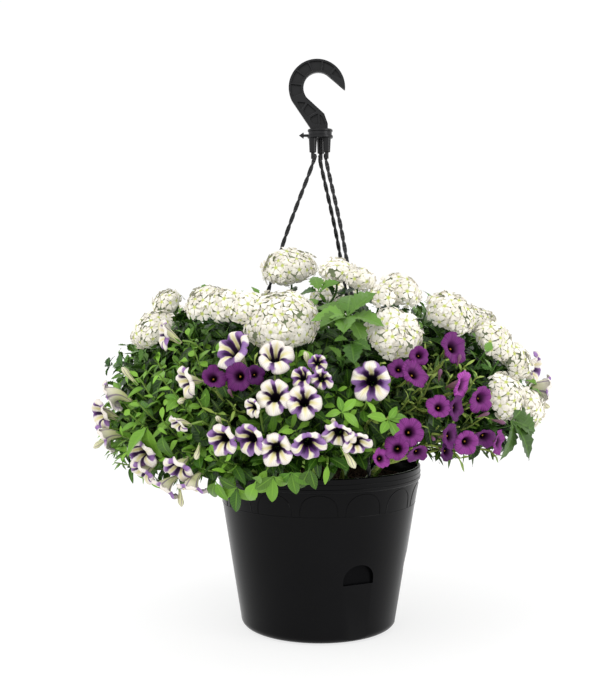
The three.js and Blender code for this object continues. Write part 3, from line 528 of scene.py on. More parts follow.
hook_plastic = black_plastic("black hanger plastic", colour("08080a"), colour("111214"), 0.34, 0.3, 1400)
hook_outline = [(-SHANK_HALF, HUB_TOP - 1), (-SHANK_HALF, HUB_TOP + 1)]
hook_outline += arc(HOOK_CENTRE, HOOK_RADIUS, 207, -5, 60)
hook_outline += arc(THROAT_CENTRE, THROAT_RADIUS, 47, 221, 40)
hook_outline += [(SHANK_HALF - 4, HUB_TOP + 17), (SHANK_HALF, HUB_TOP + 6), (SHANK_HALF, HUB_TOP - 1)]
pockets = []
for i in range(6):
    start = RIB_FIRST - i * (RIB_STEP + RIB_GAP)
    stop = start - RIB_STEP
    outer = arc(HOOK_CENTRE, HOOK_RADIUS - HOOK_FLANGE, start, stop, 8)
    inner = arc(THROAT_CENTRE, THROAT_RADIUS + HOOK_FLANGE, max(stop, 50), start, 8)
    pockets.append(outer + inner)
for corners in SHANK_POCKETS:
    pockets.append([(x, HUB_TOP + z) for x, z in rounded(corners, 1)])
web = rounded([(x * 0.97 - 0.05, z) for x, z in hook_outline], 0.4, 1)
flanges = plate("hook flanges", [hook_outline] + pockets, HOOK_THICK, 0.45)
middle_web = plate("hook web", [web], HOOK_WEB, 0.1)
hub = turned("hub", [(0, HUB_BOTTOM), (HUB_RADIUS - 1, HUB_BOTTOM), (HUB_RADIUS - 0.3, HUB_BOTTOM + 0.3),
                     (HUB_RADIUS, HUB_BOTTOM + 1), (HUB_RADIUS, HUB_BOTTOM + 3), (HUB_RADIUS - 1.2, HUB_BOTTOM + 3.6),
                     (HUB_RADIUS - 1.2, HUB_TOP - 3), (HUB_RADIUS - 0.3, HUB_TOP - 2.4),
                     (HUB_RADIUS - 0.3, HUB_TOP - 0.8), (HUB_RADIUS - 1, HUB_TOP), (0, HUB_TOP)], 64)
moved(hub, (HUB_X * MM, 0, 0))
prong = plate("prong", [[(x, HUB_BOTTOM + z) for x, z in PRONG]], PRONG_THICK, 0.3)
hook_parts = [flanges, middle_web, hub, prong]
bottom, bore = HUB_BOTTOM - SOCKET_LENGTH, PIN_RADIUS + BORE_PLAY
for azimuth in LEG_AZIMUTHS:
    socket = turned("socket", [(0, bottom + SOCKET_DEPTH), (bore, bottom + SOCKET_DEPTH), (bore, bottom),
                               (SOCKET_RADIUS - 1.2, bottom), (SOCKET_RADIUS - 0.8, bottom + 0.4),
                               (SOCKET_RADIUS, HUB_BOTTOM + 1), (0, HUB_BOTTOM + 1)], 28)
    hook_parts.append(moved(socket, polar(azimuth + LEG_TURN, SOCKET_CIRCLE, 0) + Vector((HUB_X * MM, 0, 0))))
hook = join("hanger_hook_moulding", [dress(part, hook_plastic, 32) for part in hook_parts])
hand_over(hook, "hanger_plastic", "hanger_hook")

# ---------------------------------------------------------------------------------------
# The hanger's three legs: flat plastic straps, twisted along their length, each with a pin
# at the top that sits in the hub's socket and a barbed clip through an ear at the pot's rim.
# ---------------------------------------------------------------------------------------
LEG_WIDTH, LEG_THICK = 4.4, 2.8
LEG_BOWS = (6, 14, 14)
LEG_TWISTS, STRAP_STEP = 13.0, 1.2
LEG_START, PIN_PLAY = 4, 0.3
CLIP_LENGTH, CLIP_TIP, CLIP_BARB, CLIP_SHOULDER = 6, 1.3, 0.9, 0.6


def smooth_path(points, steps):
    """Points along a smooth curve through these, evenly spaced within each stretch."""
    ends = [2 * points[0] - points[1]] + list(points) + [2 * points[-1] - points[-2]]
    made = []
    for a, b, c, d in zip(ends, ends[1:], ends[2:], ends[3:]):
        for i in range(steps):
            t = i / steps
            made.append(0.5 * (2 * b + (c - a) * t + (2 * a - 5 * b + 4 * c - d) * t * t
                               + (3 * b - a - 3 * c + d) * t ** 3))
    return made + [points[-1]]


def math_node(tree, operation, *values, clamp=False):
    """Output of a math node on these values or sockets."""
    return place(tree, "ShaderNodeMath", enumerate(values), operation=operation, use_clamp=clamp).outputs[0]


def times(tree, first, second, clamp=False):
    """Product of two values or sockets."""
    return math_node(tree, "MULTIPLY", first, second, clamp=clamp)


strap_tree, given, out = node_tree("twisted strap", Float=["Width", "Thickness", "Twists", "Step"],
                                   Material=["Material"])
run = place(strap_tree, "GeometryNodeMeshToCurve", {"Mesh": given["Geometry"]})
even = place(strap_tree, "GeometryNodeResampleCurve", {"Curve": run, "Length": given["Step"]}, mode="LENGTH")
along = place(strap_tree, "GeometryNodeSplineParameter").outputs["Factor"]
angle = times(strap_tree, times(strap_tree, along, given["Twists"]), math.tau)
tilted = place(strap_tree, "GeometryNodeSetCurveTilt", {"Curve": even, "Tilt": angle})
section = place(strap_tree, "GeometryNodeCurvePrimitiveQuadrilateral", {
    "Width": given["Width"], "Height": given["Thickness"]})
soft = place(strap_tree, "GeometryNodeFilletCurve", {"Curve": section, "Radius": 0.0006, "Limit Radius": True})
bar = place(strap_tree, "GeometryNodeCurveToMesh", {"Curve": tilted, "Profile Curve": soft, "Fill Caps": True})
finish_tree(strap_tree, out, given["Material"], bar)


def leg_path(azimuth, bow):
    """Middle line of a leg from the hub's socket to the ear."""
    top = HUB_BOTTOM - SOCKET_LENGTH - LEG_START
    head = polar(azimuth + LEG_TURN, SOCKET_CIRCLE, top) + Vector((HUB_X * MM, 0, 0))
    foot = polar(azimuth, LEG_CIRCLE, EAR_TOP + 16)
    path = [head, head - Vector((0, 0, 8 * MM))]
    for t in (0.3, 0.65):
        path.append(head.lerp(foot, t) + polar(azimuth, bow * math.sin(math.pi * t), 0))
    return path + [foot, Vector((foot.x, foot.y, (EAR_TOP + PIN_PLAY) * MM))]


pin_top = HUB_BOTTOM - SOCKET_LENGTH + SOCKET_DEPTH - PIN_PLAY
under = EAR_TOP - EAR_THICK - PIN_PLAY
barb = EAR_HOLE + CLIP_BARB
for azimuth, bow, letter in zip(LEG_AZIMUTHS, LEG_BOWS, "abc"):
    path = leg_path(azimuth, bow)
    strap = grown(lines("strap", [smooth_path(path, 12)]), strap_tree, width=LEG_WIDTH * MM,
                  thickness=LEG_THICK * MM, twists=LEG_TWISTS, step=STRAP_STEP * MM, material=hook_plastic)
    head, foot = path[0] / MM, path[-1]
    pin = turned("pin", [(0, head.z - 3), (PIN_RADIUS, head.z - 3), (PIN_RADIUS, pin_top - 0.5),
                         (PIN_RADIUS - 0.5, pin_top), (0, pin_top)], 20)
    moved(pin, (path[0].x, path[0].y, 0))
    clip = turned("clip", [(0, under - CLIP_LENGTH), (CLIP_TIP, under - CLIP_LENGTH), (barb, under - CLIP_SHOULDER),
                           (barb, under), (PIN_RADIUS, under), (PIN_RADIUS, EAR_TOP + 3), (0, EAR_TOP + 3)], 20)
    moved(clip, (foot.x, foot.y, 0))
    leg = join("hanger_leg_%s_strap" % letter, [dress(part, hook_plastic, 40) for part in (strap, pin, clip)])
    hand_over(leg, "hanger_plastic", "hanger_leg_" + letter)

# ---------------------------------------------------------------------------------------
# The verbenas' flower heads: white domes of small salver florets, each of five notched
# petals round a yellow-green eye on a slender tube that rises from the top of the stalk.
# ---------------------------------------------------------------------------------------
# Azimuth, height and radius of each head
VERBENA_HEADS = {
    "verbena_heads_front": [[-12, 369, 36], [-23, 373, 19], [-33, 377, 19], [-43, 379, 21]],
    "verbena_head_top": [[-22, 423, 30]],
    "verbena_heads_left": [[-62, 350, 24], [-70, 376, 19]],
    "verbena_head_right": [[22, 351, 28]],
    "verbena_heads_crown": [[9, 410, 17], [17, 401, 16]],
    "verbena_heads_upper_right": [[33, 392, 21], [22, 383, 13]],
    "verbena_head_shoulder": [[50, 371, 27]],
    "verbena_heads_far_right": [[61, 338, 24], [67, 314, 22]],
    "verbena_heads_low_right": [[53, 278, 24], [64, 260, 22]],
    "verbena_head_back_left": [[-112, 350, 30]],
    "verbena_head_back_right": [[108, 348, 30]],
    "verbena_head_back_top": [[172, 388, 32]],
}
HEAD_FLAT = 0.72
HEAD_CAP = 108
HEAD_DEPTH = 0.7
FLORET_ACROSS, FLORET_SIZES = 15.5, (0.86, 1.1)
FLORET_SWING, FLORET_RISE = 0.36, (-1.0, 2.4)
FLORET_SPACING = 7.3
# Core under the florets: the tubes' dim green, partly the real green inside a head, partly painted shade in the gaps.
CORE_SUNK, CORE_SHADE_REACH = 3.6, -0.7
HEAD_LUMPS, HEAD_CORE = 0.16, 0.98

# The plants have grown together into one dome that hangs over the rim: its widest level, its
# radius there, and how far it reaches up and down
DOME_LEVEL, DOME_RADIUS, DOME_RISE, DOME_DROP = 235, 258, 200, 135


def dome_site(azimuth, height):
    """Point on the dome and the direction straight out of it."""
    reach = DOME_RISE if height > DOME_LEVEL else DOME_DROP
    rise = (height - DOME_LEVEL) / reach
    radius = DOME_RADIUS * math.sqrt(1 - rise * rise)
    a = math.radians(azimuth)
    flat = radius / DOME_RADIUS ** 2
    out = Vector((flat * math.sin(a), -flat * math.cos(a), rise / reach)).normalized()
    return polar(azimuth, radius, height), out


def pose(direction, roll):
    """Turn that points z along a direction, with a roll round it, as Euler angles."""
    z = direction.normalized()
    x = Vector((0, 0, 1)).cross(z).normalized()
    x = Quaternion(z, math.radians(roll)) @ x
    return Matrix((x, z.cross(x), z)).transposed().to_euler()


def with_values(piece, **values):
    """Stores a value of each attribute at every point of a piece."""
    for key, numbers in values.items():
        piece.data.attributes.new(key, "FLOAT", "POINT").data.foreach_set("value", list(numbers))
    return piece


def blended(tree, factor, first, second, way="MIX"):
    """Mix of two colours."""
    node = place(tree, "ShaderNodeMix", {0: factor, 6: first, 7: second}, data_type="RGBA", blend_type=way)
    return node.outputs[2]


# Where foliage keeps away from the flowers, and where each cluster's stalks end: the place,
# the direction and whether the stalk rises from the trunk
clearings = []
stalk_ends = {}

# The petals glow faintly: painted light that lifts their shaded sides and the gaps between them.
verbena_petal, tree = finish_material("white verbena petal", 0.6, 0.2, (colour("fbf8ee"), 0.09))
reach = read_value(tree, "reach")
white = blended(tree, read_value(tree, "tone"), colour("d6d1c6"), colour("f4f1ea"))
past_eye = math_node(tree, "SMOOTH_MIN", times(tree, reach, 2.6), 1.0, 0.3, clamp=True)
petal = blended(tree, past_eye, colour("b5c24a"), white)
mottle = mottled(tree, 320, 3)
petal = blended(tree, 0.5, petal, ramp(tree, mottle, (0.3, colour("e6e0cc")), (0.6, colour("ffffff"))), "MULTIPLY")
# The tubes' dark green also colours the sunk core, where it is partly painted shade between the florets.
tube = times(tree, math_node(tree, "MAXIMUM", times(tree, reach, -1.0), 0.0), 1.3, clamp=True)
feed(tree, "Base Color", blended(tree, tube, petal, colour("5a7040")))
bumped(tree, mottle, 0.25, 0.0006)

# How far out each row of a petal lies, its half width, its notch and its share of the reach
PETAL_ROWS = ((0.06, 0.045, 0, 0.0), (0.19, 0.1, 0, 0.45), (0.33, 0.19, 0, 0.78), (0.44, 0.205, 0, 0.93),
              (0.5, 0.125, 0.06, 1.0))


def turn_about(x, y, angle):
    """Point in a plane turned about the middle by an angle in radians."""
    return x * math.cos(angle) - y * math.sin(angle), x * math.sin(angle) + y * math.cos(angle)


def make_floret(seed):
    """Floret of 1 mm across, eye at the origin, facing z: five notched petals on a tube."""
    draw = random.Random(seed)
    points, faces, reaches = [(0, 0, -0.02)], [], [0.0]
    for k in range(5):
        middle = math.tau * k / 5 + draw.uniform(-0.06, 0.06)
        lift, roll = draw.uniform(-0.07, 0.05), draw.uniform(-0.03, 0.03)
        at = len(points)
        for along, half, notch, far in PETAL_ROWS:
            for side in (-1, 0, 1):
                x = along - (notch if side == 0 else 0)
                z = lift * far + roll * side * far - 0.08 * far ** 3 + (0.025 if side == 0 else 0.0) * far
                points.append((*turn_about(x, half * side, middle), z))
                reaches.append(far)
        faces += [(0, at, at + 1), (0, at + 1, at + 2)]
        for row in range(len(PETAL_ROWS) - 1):
            for side in (0, 1):
                a = at + row * 3 + side
                faces.append((a, a + 3, a + 4, a + 1))
    at = len(points)
    for depth, radius, far in ((-0.01, 0.07, -0.2), (-0.75, 0.035, -1.0)):
        points += [(*turn_about(radius, 0, math.tau * i / 4), depth) for i in range(4)]
        reaches += [far] * 4
    faces += [(at + i, at + 4 + i, at + 4 + (i + 1) % 4, at + (i + 1) % 4) for i in range(4)]
    return with_values(shaped("floret", points, faces), reach=reaches)


def stored(tree, name, kind="FLOAT"):
    """Value or vector that the points or faces of a shape carry under a name."""
    return place(tree, "GeometryNodeInputNamedAttribute", {"Name": name}, data_type=kind).outputs[0]


def marked(tree, shape, name, value, domain="POINT"):
    """Shape with a value stored at each of its points or instances."""
    sockets = {"Geometry": shape, "Name": name, "Value": value}
    return place(tree, "GeometryNodeStoreNamedAttribute", sockets, data_type="FLOAT", domain=domain)


def scaled(tree, vector, factor):
    """Vector times a number."""
    return place(tree, "ShaderNodeVectorMath", {0: vector, "Scale": factor}, operation="SCALE").outputs[0]


floret_tree, given, out = node_tree("florets over a dome", Object=["Floret"], Int=["Seed"], Material=["Material"],
                                    Float=["Spacing", "Smallest", "Largest", "Core sunk"])
seed = given["Seed"]
open_part = place(floret_tree, "GeometryNodeSeparateGeometry", {
    "Geometry": given["Geometry"], "Selection": stored(floret_tree, "blooms")}, domain="FACE")
spread = place(floret_tree, "GeometryNodeDistributePointsOnFaces", {
    "Mesh": open_part, "Distance Min": given["Spacing"], "Density Max": 40000.0, "Seed": seed},
    distribute_method="POISSON")
skin = place(floret_tree, "GeometryNodeInputNormal").outputs[0]
inward = scaled(floret_tree, skin, times(floret_tree, given["Core sunk"], -1.0))
core = place(floret_tree, "GeometryNodeSetPosition", {"Geometry": given["Geometry"], "Offset": inward})
core = marked(floret_tree, core, "reach", CORE_SHADE_REACH)
shape = place(floret_tree, "GeometryNodeObjectInfo", {"Object": given["Floret"], "As Instance": True})
swing = place(floret_tree, "FunctionNodeEulerToRotation", {
    0: varied(floret_tree, (-FLORET_SWING, -FLORET_SWING, -3.14), (FLORET_SWING, FLORET_SWING, 3.14), seed)})
turn = place(floret_tree, "FunctionNodeRotateRotation", {0: spread.outputs["Rotation"], 1: swing},
             rotation_space="LOCAL")
set_out = place(floret_tree, "GeometryNodeInstanceOnPoints", {
    "Points": spread, "Instance": shape.outputs["Geometry"], "Rotation": turn,
    "Scale": varied(floret_tree, given["Smallest"], given["Largest"], seed)})
rise = varied(floret_tree, FLORET_RISE[0] * MM, FLORET_RISE[1] * MM, seed)
depth = place(floret_tree, "ShaderNodeCombineXYZ", {2: rise})
set_out = place(floret_tree, "GeometryNodeTranslateInstances", {
    "Instances": set_out, "Translation": depth, "Local Space": True})
toned = marked(floret_tree, set_out, "tone", varied(floret_tree, 0.0, 1.0, seed), "INSTANCE")
finish_tree(floret_tree, out, given["Material"], toned, core)


def head_dome(place_on, out, radius, rings=7, sides=22):
    """Flattened dome that carries the florets of one head, a little under their faces."""
    centre = place_on - out * radius * HEAD_FLAT * MM
    turn = pose(out, 0).to_matrix()
    points, faces = [], []
    for i in range(rings + 1):
        fall = math.radians(HEAD_CAP) * i / rings
        for k in range(sides):
            a = math.tau * k / sides
            ray = Vector((math.sin(fall) * math.cos(a), math.sin(fall) * math.sin(a), math.cos(fall) * HEAD_FLAT))
            lump = 1 + HEAD_LUMPS * noise.noise(ray * 2.3 + place_on * 90)
            points.append(centre + turn @ (ray * lump * (radius - 0.6) * MM))
    for i in range(rings):
        for k in range(sides):
            j = (k + 1) % sides
            a, b = i * sides, (i + 1) * sides
            faces.append((a + k, b + k, b + j, a + j))
    foot = len(points)
    points.append(centre - out * radius * HEAD_DEPTH * HEAD_FLAT * MM)
    faces += [(rings * sides + k, foot, rings * sides + (k + 1) % sides) for k in range(sides)]
    return points, faces


def inside_head(point, heart, out, radius):
    """Whether a point lies inside the flattened dome of a head."""
    offset = point - heart
    return (offset + out * offset.dot(out) * (1 / HEAD_FLAT - 1)).length < radius * HEAD_CORE


florets = [make_floret(seed) for seed in (1, 2, 3)]
for order, (name, heads) in enumerate(VERBENA_HEADS.items()):
    points, faces, owners, hearts = [], [], [], []
    stalk_ends[name] = []
    for index, (azimuth, height, radius) in enumerate(heads):
        site, outward = dome_site(azimuth, height)
        more, quads = head_dome(site, outward, radius)
        owners += [index] * len(quads)
        hearts.append((site - outward * radius * HEAD_FLAT * MM, outward, radius * MM))
        faces += [tuple(len(points) + i for i in quad) for quad in quads]
        points += more
        clearings += [p + outward * 4 * MM for p in more[::3]]
        depth = radius * HEAD_DEPTH * HEAD_FLAT + 0.3
        stalk_ends[name].append((site - outward * (radius * HEAD_FLAT + depth) * MM, outward, index % 2 == 0))
    blooming = []
    for face, owner in zip(faces, owners):
        middle = sum((points[i] for i in face), Vector()) / len(face)
        covered = any(k != owner and inside_head(middle, *heart) for k, heart in enumerate(hearts))
        blooming.append(float(not covered))
    dome = shaped(name + "_florets", points, faces)
    dome.data.attributes.new("blooms", "FLOAT", "FACE").data.foreach_set("value", blooming)
    head = grown(dome, floret_tree, floret=florets[order % 3], spacing=FLORET_SPACING * MM,
                 smallest=FLORET_ACROSS * FLORET_SIZES[0] * MM, largest=FLORET_ACROSS * FLORET_SIZES[1] * MM,
                 core_sunk=CORE_SUNK * MM, seed=40 + order, material=verbena_petal)
    hand_over(dress(head, verbena_petal), "verbena_petals", name)
cleared(florets)

# ---------------------------------------------------------------------------------------
# The petunias' blooms: thin soft funnels of five fused lobes on a slender tube. The lobes are
# cream with a pale yellow wedge, the seams between them carry violet bands, and the throat
# is nearly black.
# ---------------------------------------------------------------------------------------
# How closely each cluster is drawn in, and for each bloom the azimuth, height, width across,
# turn, tilt and how far the violet has spread
PETUNIA_BLOOMS = {
    "petunia_upper_left": (1, [[-22, 328, 42, -10, 8, 0.85]]),
    "petunia_pale_left": (1, [[-32, 292, 33, -25, -20, 0.12]]),
    "petunia_faded_top": (1, [[-10, 322, 34, 0, 12, 0.35]]),
    "petunias_centre": (0.94, [[0, 315, 18, 0, 0, 0.95], [-4, 302, 22, 0, 0, 0.95], [1, 298, 22, 0, 0, 0.8],
                               [-10, 283, 35, 0, 0, 0.3], [-3, 278, 34, 0, 0, 0.45], [-15, 271, 20, 0, 0, 0.2]]),
    "petunias_front": (1, [[-21, 240, 33, 0, 0, 0.6], [-15, 243, 33, 0, 0, 0.85], [-9, 233, 34, 0, -5, 0.35],
                           [-2, 237, 33, 0, 0, 0.85], [4, 246, 32, 0, 0, 0.6], [8, 239, 28, 0, 0, 0.5]]),
    "petunia_facing_front": (1, [[11, 296, 40, -8, -15, 0.72]]),
    "petunias_side_left": (1, [[-59, 270, 36, -6, 0, 0.4], [-65, 250, 36, 0, 0, 0.5], [-62, 226, 36, 0, -5, 0.5]]),
    "petunias_low_left": (1, [[-44, 218, 34, -4, 0, 0.5], [-46, 196, 34, 0, 0, 0.6], [-41, 182, 33, 0, 0, 0.6]]),
    "petunias_trailing_left": (1, [[-33, 206, 33, 0, 0, 0.7], [-31, 186, 33, 0, 0, 0.7]]),
    "petunia_profile_left": (1, [[-46, 337, 32, -30, -20, 0.4]]),
    "petunia_small_left": (1, [[-32, 252, 22, -30, -10, 0.1]]),
    "petunias_side_back": (1, [[-136, 280, 40, 0, 0, 0.5], [-129, 260, 40, 0, 0, 0.4]]),
    "petunias_right_side": (1, [[87, 292, 40, 0, 0, 0.6], [81, 270, 40, 0, 0, 0.4]]),
}
PETUNIA_TUBE = 0.75
# Radius and level of each ring of a funnel and of a bud, as shares of the width across
PETUNIA_PROFILE = [(0.06, -0.75), (0.068, -0.65), (0.09, -0.53), (0.122, -0.42), (0.158, -0.32), (0.2, -0.225),
                   (0.25, -0.14), (0.305, -0.078), (0.36, -0.038), (0.41, -0.014), (0.46, -0.004), (0.5, -0.012)]
BUD_PROFILE = [(0.05, -0.75), (0.058, -0.6), (0.07, -0.42), (0.1, -0.24), (0.13, -0.1), (0.135, 0.0), (0.11, 0.09),
               (0.06, 0.16), (0.015, 0.2)]
# Azimuth, height, length, turn and tilt of each bud
PETUNIA_BUDS = [(7, 221, 27, 40, -35), (-49, 346, 30, -25, 40), (-32, 276, 24, 20, -20), (-3, 322, 22, -30, 30),
                (-22, 262, 20, 10, 20), (-55, 300, 26, -30, 25), (-27, 224, 22, 20, -30), (3, 262, 18, 0, 30),
                (-70, 214, 26, -20, -20), (-130, 300, 26, 0, 20), (84, 252, 24, 10, -20), (-38, 168, 24, -10, -50)]


def bloom_direction(out, turn, tilt):
    """Direction of a bloom: out of the dome, turned sideways and tilted up."""
    side = Vector((-out.y, out.x, 0)).normalized()
    sideways = Matrix.Rotation(math.radians(turn), 3, "Z")
    up = Matrix.Rotation(math.radians(-tilt), 3, sideways @ side)
    return up @ (sideways @ out)


def closed_up(places, share):
    """Places drawn in towards their middle by a share."""
    middle = [sum(p[i] for p in places) / len(places) for i in (0, 1)]
    return [[middle[i] + (p[i] - middle[i]) * share for i in (0, 1)] + list(p[2:]) for p in places]


def flower_points(name, flowers):
    """Object of one point for each flower (place, turn, size, mark), to set flowers out on."""
    mesh = bpy.data.meshes.new(name)
    mesh.from_pydata([tuple(f[0]) for f in flowers], [], [])
    mesh.attributes.new("turn", "FLOAT_VECTOR", "POINT").data.foreach_set("vector", [v for f in flowers for v in f[1]])
    mesh.attributes.new("size", "FLOAT", "POINT").data.foreach_set("value", [f[2] for f in flowers])
    mesh.attributes.new("mark", "FLOAT", "POINT").data.foreach_set("value", [f[3] for f in flowers])
    return link(name, mesh)


def picked(tree, given, word):
    """Sockets that set out one of three shapes at each point, picked at random."""
    shapes = place(tree, "GeometryNodeGeometryToInstance")
    for rank in ("Third ", "Second ", "First "):
        form = place(tree, "GeometryNodeObjectInfo", {"Object": given[rank + word], "As Instance": False})
        tree.links.new(form.outputs["Geometry"], shapes.inputs[0])
    which = place(tree, "FunctionNodeRandomValue", {4: 0, 5: 2, "Seed": given["Seed"]}, data_type="INT")
    return {"Instance": shapes, "Pick Instance": True, "Instance Index": which.outputs[2]}


flower_tree, given, out = node_tree("flowers set out on points", Int=["Seed"], Material=["Material"],
                                    Object=["First shape", "Second shape", "Third shape"])
cloud = place(flower_tree, "GeometryNodeMeshToPoints", {"Mesh": given["Geometry"]})
turn = place(flower_tree, "FunctionNodeEulerToRotation", {0: stored(flower_tree, "turn", "FLOAT_VECTOR")})
set_out = place(flower_tree, "GeometryNodeInstanceOnPoints", {
    "Points": cloud, "Rotation": turn, "Scale": stored(flower_tree, "size"), **picked(flower_tree, given, "shape")})
toned = marked(flower_tree, set_out, "tone", varied(flower_tree, 0.0, 1.0, given["Seed"]), "INSTANCE")
finish_tree(flower_tree, out, given["Material"], toned)


def add_sepals(points, faces, radius, level):
    """Adds five narrow sepals round the foot of a tube; returns how many points they have."""
    rows = ((radius * 0.9, level, 0.02), (radius * 1.9, level + 0.12, 0.035), (radius * 2.9, level + 0.27, 0.004))
    before = len(points)
    for k in range(5):
        at = len(points)
        points += [(*turn_about(r, side, math.tau * k / 5), z) for r, z, half in rows for side in (-half, half)]
        faces += [(at, at + 1, at + 3, at + 2), (at + 2, at + 3, at + 5, at + 4)]
    return len(points) - before


def make_bud(sides=10):
    """Closed bud of a funnel flower, twisted shut, pointing along z, on its sepals."""
    points, faces, reaches, lobes = [], [], [], []
    last = len(BUD_PROFILE) - 1
    for i, (radius, level) in enumerate(BUD_PROFILE):
        for k in range(sides):
            a = math.tau * k / sides + i * 0.22
            r = radius * (1 if k % 2 else 0.82)
            points.append((r * math.cos(a), r * math.sin(a), level))
            reaches.append(0.2 + 0.25 * i / last)
            lobes.append(float(k % 2 == 0))
    for i in range(last):
        for k in range(sides):
            a, b, j = i * sides, (i + 1) * sides, (k + 1) % sides
            faces.append((a + k, a + j, b + j, b + k))
    faces.append(tuple(range(len(points) - sides, len(points))))
    backs = [1.0] * len(points)
    sepals = add_sepals(points, faces, *BUD_PROFILE[0])
    return with_values(shaped("bud", points, faces), reach=reaches + [-1.0] * sepals, lobe=lobes + [0.0] * sepals,
                       back=backs + [0.0] * sepals)


def set_out_shapes(name, flowers, shapes, seed, material, **values):
    """Piece of shapes set out on flower points, in their material, with further values at the points."""
    points = with_values(flower_points(name, flowers), **values)
    piece = grown(points, flower_tree, first_shape=shapes[0], second_shape=shapes[1], third_shape=shapes[2],
                  seed=seed, material=material)
    return dress(piece, material)


def set_out_buds(name, places, material, slot):
    """Closed buds at azimuths and heights, each with its length and its turn sideways and upwards."""
    buds = []
    for azimuth, height, length, turn, tilt in places:
        site, outward = dome_site(azimuth, height)
        buds.append((site - outward * 4 * MM, pose(bloom_direction(outward, turn, tilt), 0), length * MM, 0.5))
    bud = make_bud()
    hand_over(set_out_shapes(name, buds, [bud] * 3, len(buds), material), slot)
    cleared([bud])


def centre_line(level, depth, bow):
    """Where the bowed middle of a funnel lies at a level below its mouth, and its direction there."""
    t = min(1.0, (level + depth) / depth)
    y = bow * depth * (0.4 * (t ** 3 - 2 * t ** 2 + t) - (t ** 3 - t ** 2))
    slope = bow * (0.4 * (3 * t ** 2 - 4 * t + 1) - (3 * t ** 2 - 2 * t))
    straight = math.hypot(slope, 1)
    return y, slope / straight, 1 / straight


def make_corolla(profile, seed, bow, notch, crease, curl, ruffle, longer, steps=50, thick=0.009, eye=None):
    """Funnel of five lobes of 1 mm across, mouth at the origin, facing z, its lowest lobe towards -y.
    The tube bows so that the mouth nods towards -y.
    Its points know how far out they lie, how far from the middle of their lobe, and whether they
    are on the outer side; the five narrow sepals and an eye have a reach below 0."""
    draw = random.Random(seed)
    bends = [draw.uniform(0.1, 2.2) for _ in range(5)]
    lengths = [draw.uniform(0.9, 1.08) for _ in range(5)]
    waves = [(draw.randint(3, 11), draw.uniform(0, 6.3), draw.uniform(0.3, 1)) for _ in range(5)]
    grid = np.zeros((len(profile), steps, 3))
    reach = np.zeros((len(profile), steps))
    lobe = np.zeros((len(profile), steps))
    foot = profile[0][1]
    for i, (radius, level) in enumerate(profile):
        wide = max(0.0, min(1.0, (radius - 0.15) / 0.35))
        middle, aside, ahead = centre_line(level, -foot, bow)
        for k in range(steps):
            turn = 5 * k / steps
            number, part = int(turn), turn % 1
            off = abs(part * 2 - 1)
            beside = (number + (1 if part > 0.5 else -1)) % 5
            bend = bends[number] * (1 - off / 2) + bends[beside] * off / 2
            length = lengths[number] * (1 - off / 2) + lengths[beside] * off / 2
            a = math.tau * (k / steps + 0.05)
            r = radius * (1 - notch * wide * off ** 5) * (1 + wide * (length - 1 - longer * math.sin(a)))
            z = wide * (crease * (1 - 1.8 * off ** 1.5)) - curl * bend * wide ** 3 * (1 - 0.35 * off)
            z += ruffle * wide ** 2 * sum(g * math.sin(n * math.tau * k / steps + p) for n, p, g in waves) / 2
            z -= longer * 0.9 * wide ** 2 * max(0.0, math.sin(a))
            y = r * math.sin(a)
            grid[i, k] = (r * math.cos(a), middle + y * ahead + z * aside, level - y * aside + z * ahead)
            reach[i, k] = radius / 0.5
            lobe[i, k] = off
    across = np.roll(grid, -1, 1) - np.roll(grid, 1, 1)
    outward = np.gradient(grid, axis=0)
    normal = np.cross(outward, across)
    normal /= np.linalg.norm(normal, axis=2, keepdims=True) + 1e-9
    back = grid - normal * thick
    count = len(profile) * steps
    points = np.vstack([grid.reshape(-1, 3), back.reshape(-1, 3)])
    faces = []
    last = len(profile) - 1
    for i in range(last):
        for k in range(steps):
            j = (k + 1) % steps
            a, b = i * steps, (i + 1) * steps
            faces.append((a + k, b + k, b + j, a + j))
            faces.append((count + a + k, count + a + j, count + b + j, count + b + k))
    for k in range(steps):
        j = (k + 1) % steps
        faces.append((last * steps + k, count + last * steps + k, count + last * steps + j, last * steps + j))
        faces.append((k, j, count + j, count + k))
    points = [tuple(p) for p in points] + [(0, 0, profile[0][1])]
    faces += [(k, (k + 1) % steps, 2 * count) for k in range(steps)]
    reaches = list(reach.ravel()) * 2 + [0.1]
    lobes = list(lobe.ravel()) * 2 + [0.0]
    backs = [0.0] * count + [1.0] * count + [0.0]
    sepals = add_sepals(points, faces, *profile[0])
    reaches += [-1.0] * sepals
    lobes += [0.0] * sepals
    backs += [0.0] * sepals
    if eye:
        level, radius = eye
        middle = centre_line(level, -foot, bow)[0]
        at = len(points)
        points.append((0, middle, level + radius * 0.7))
        points += [(radius * math.cos(math.tau * i / 10), middle + radius * math.sin(math.tau * i / 10), level)
                   for i in range(10)]
        faces += [(at, at + 1 + i, at + 1 + (i + 1) % 10) for i in range(10)]
        reaches += [-0.2] + [-0.05] * 10
        lobes += [0.0] * 11
        backs += [0.0] * 11
    return with_values(shaped("corolla", points, faces), reach=reaches, lobe=lobes, back=backs)


def green_sepals(tree, petal, reach):
    """Petal colour with the sepals, which have a reach of -1, in green."""
    return blended(tree, between(tree, reach, -0.6, -0.4, 1.0, 0.0), petal, colour("5f8f2c"))


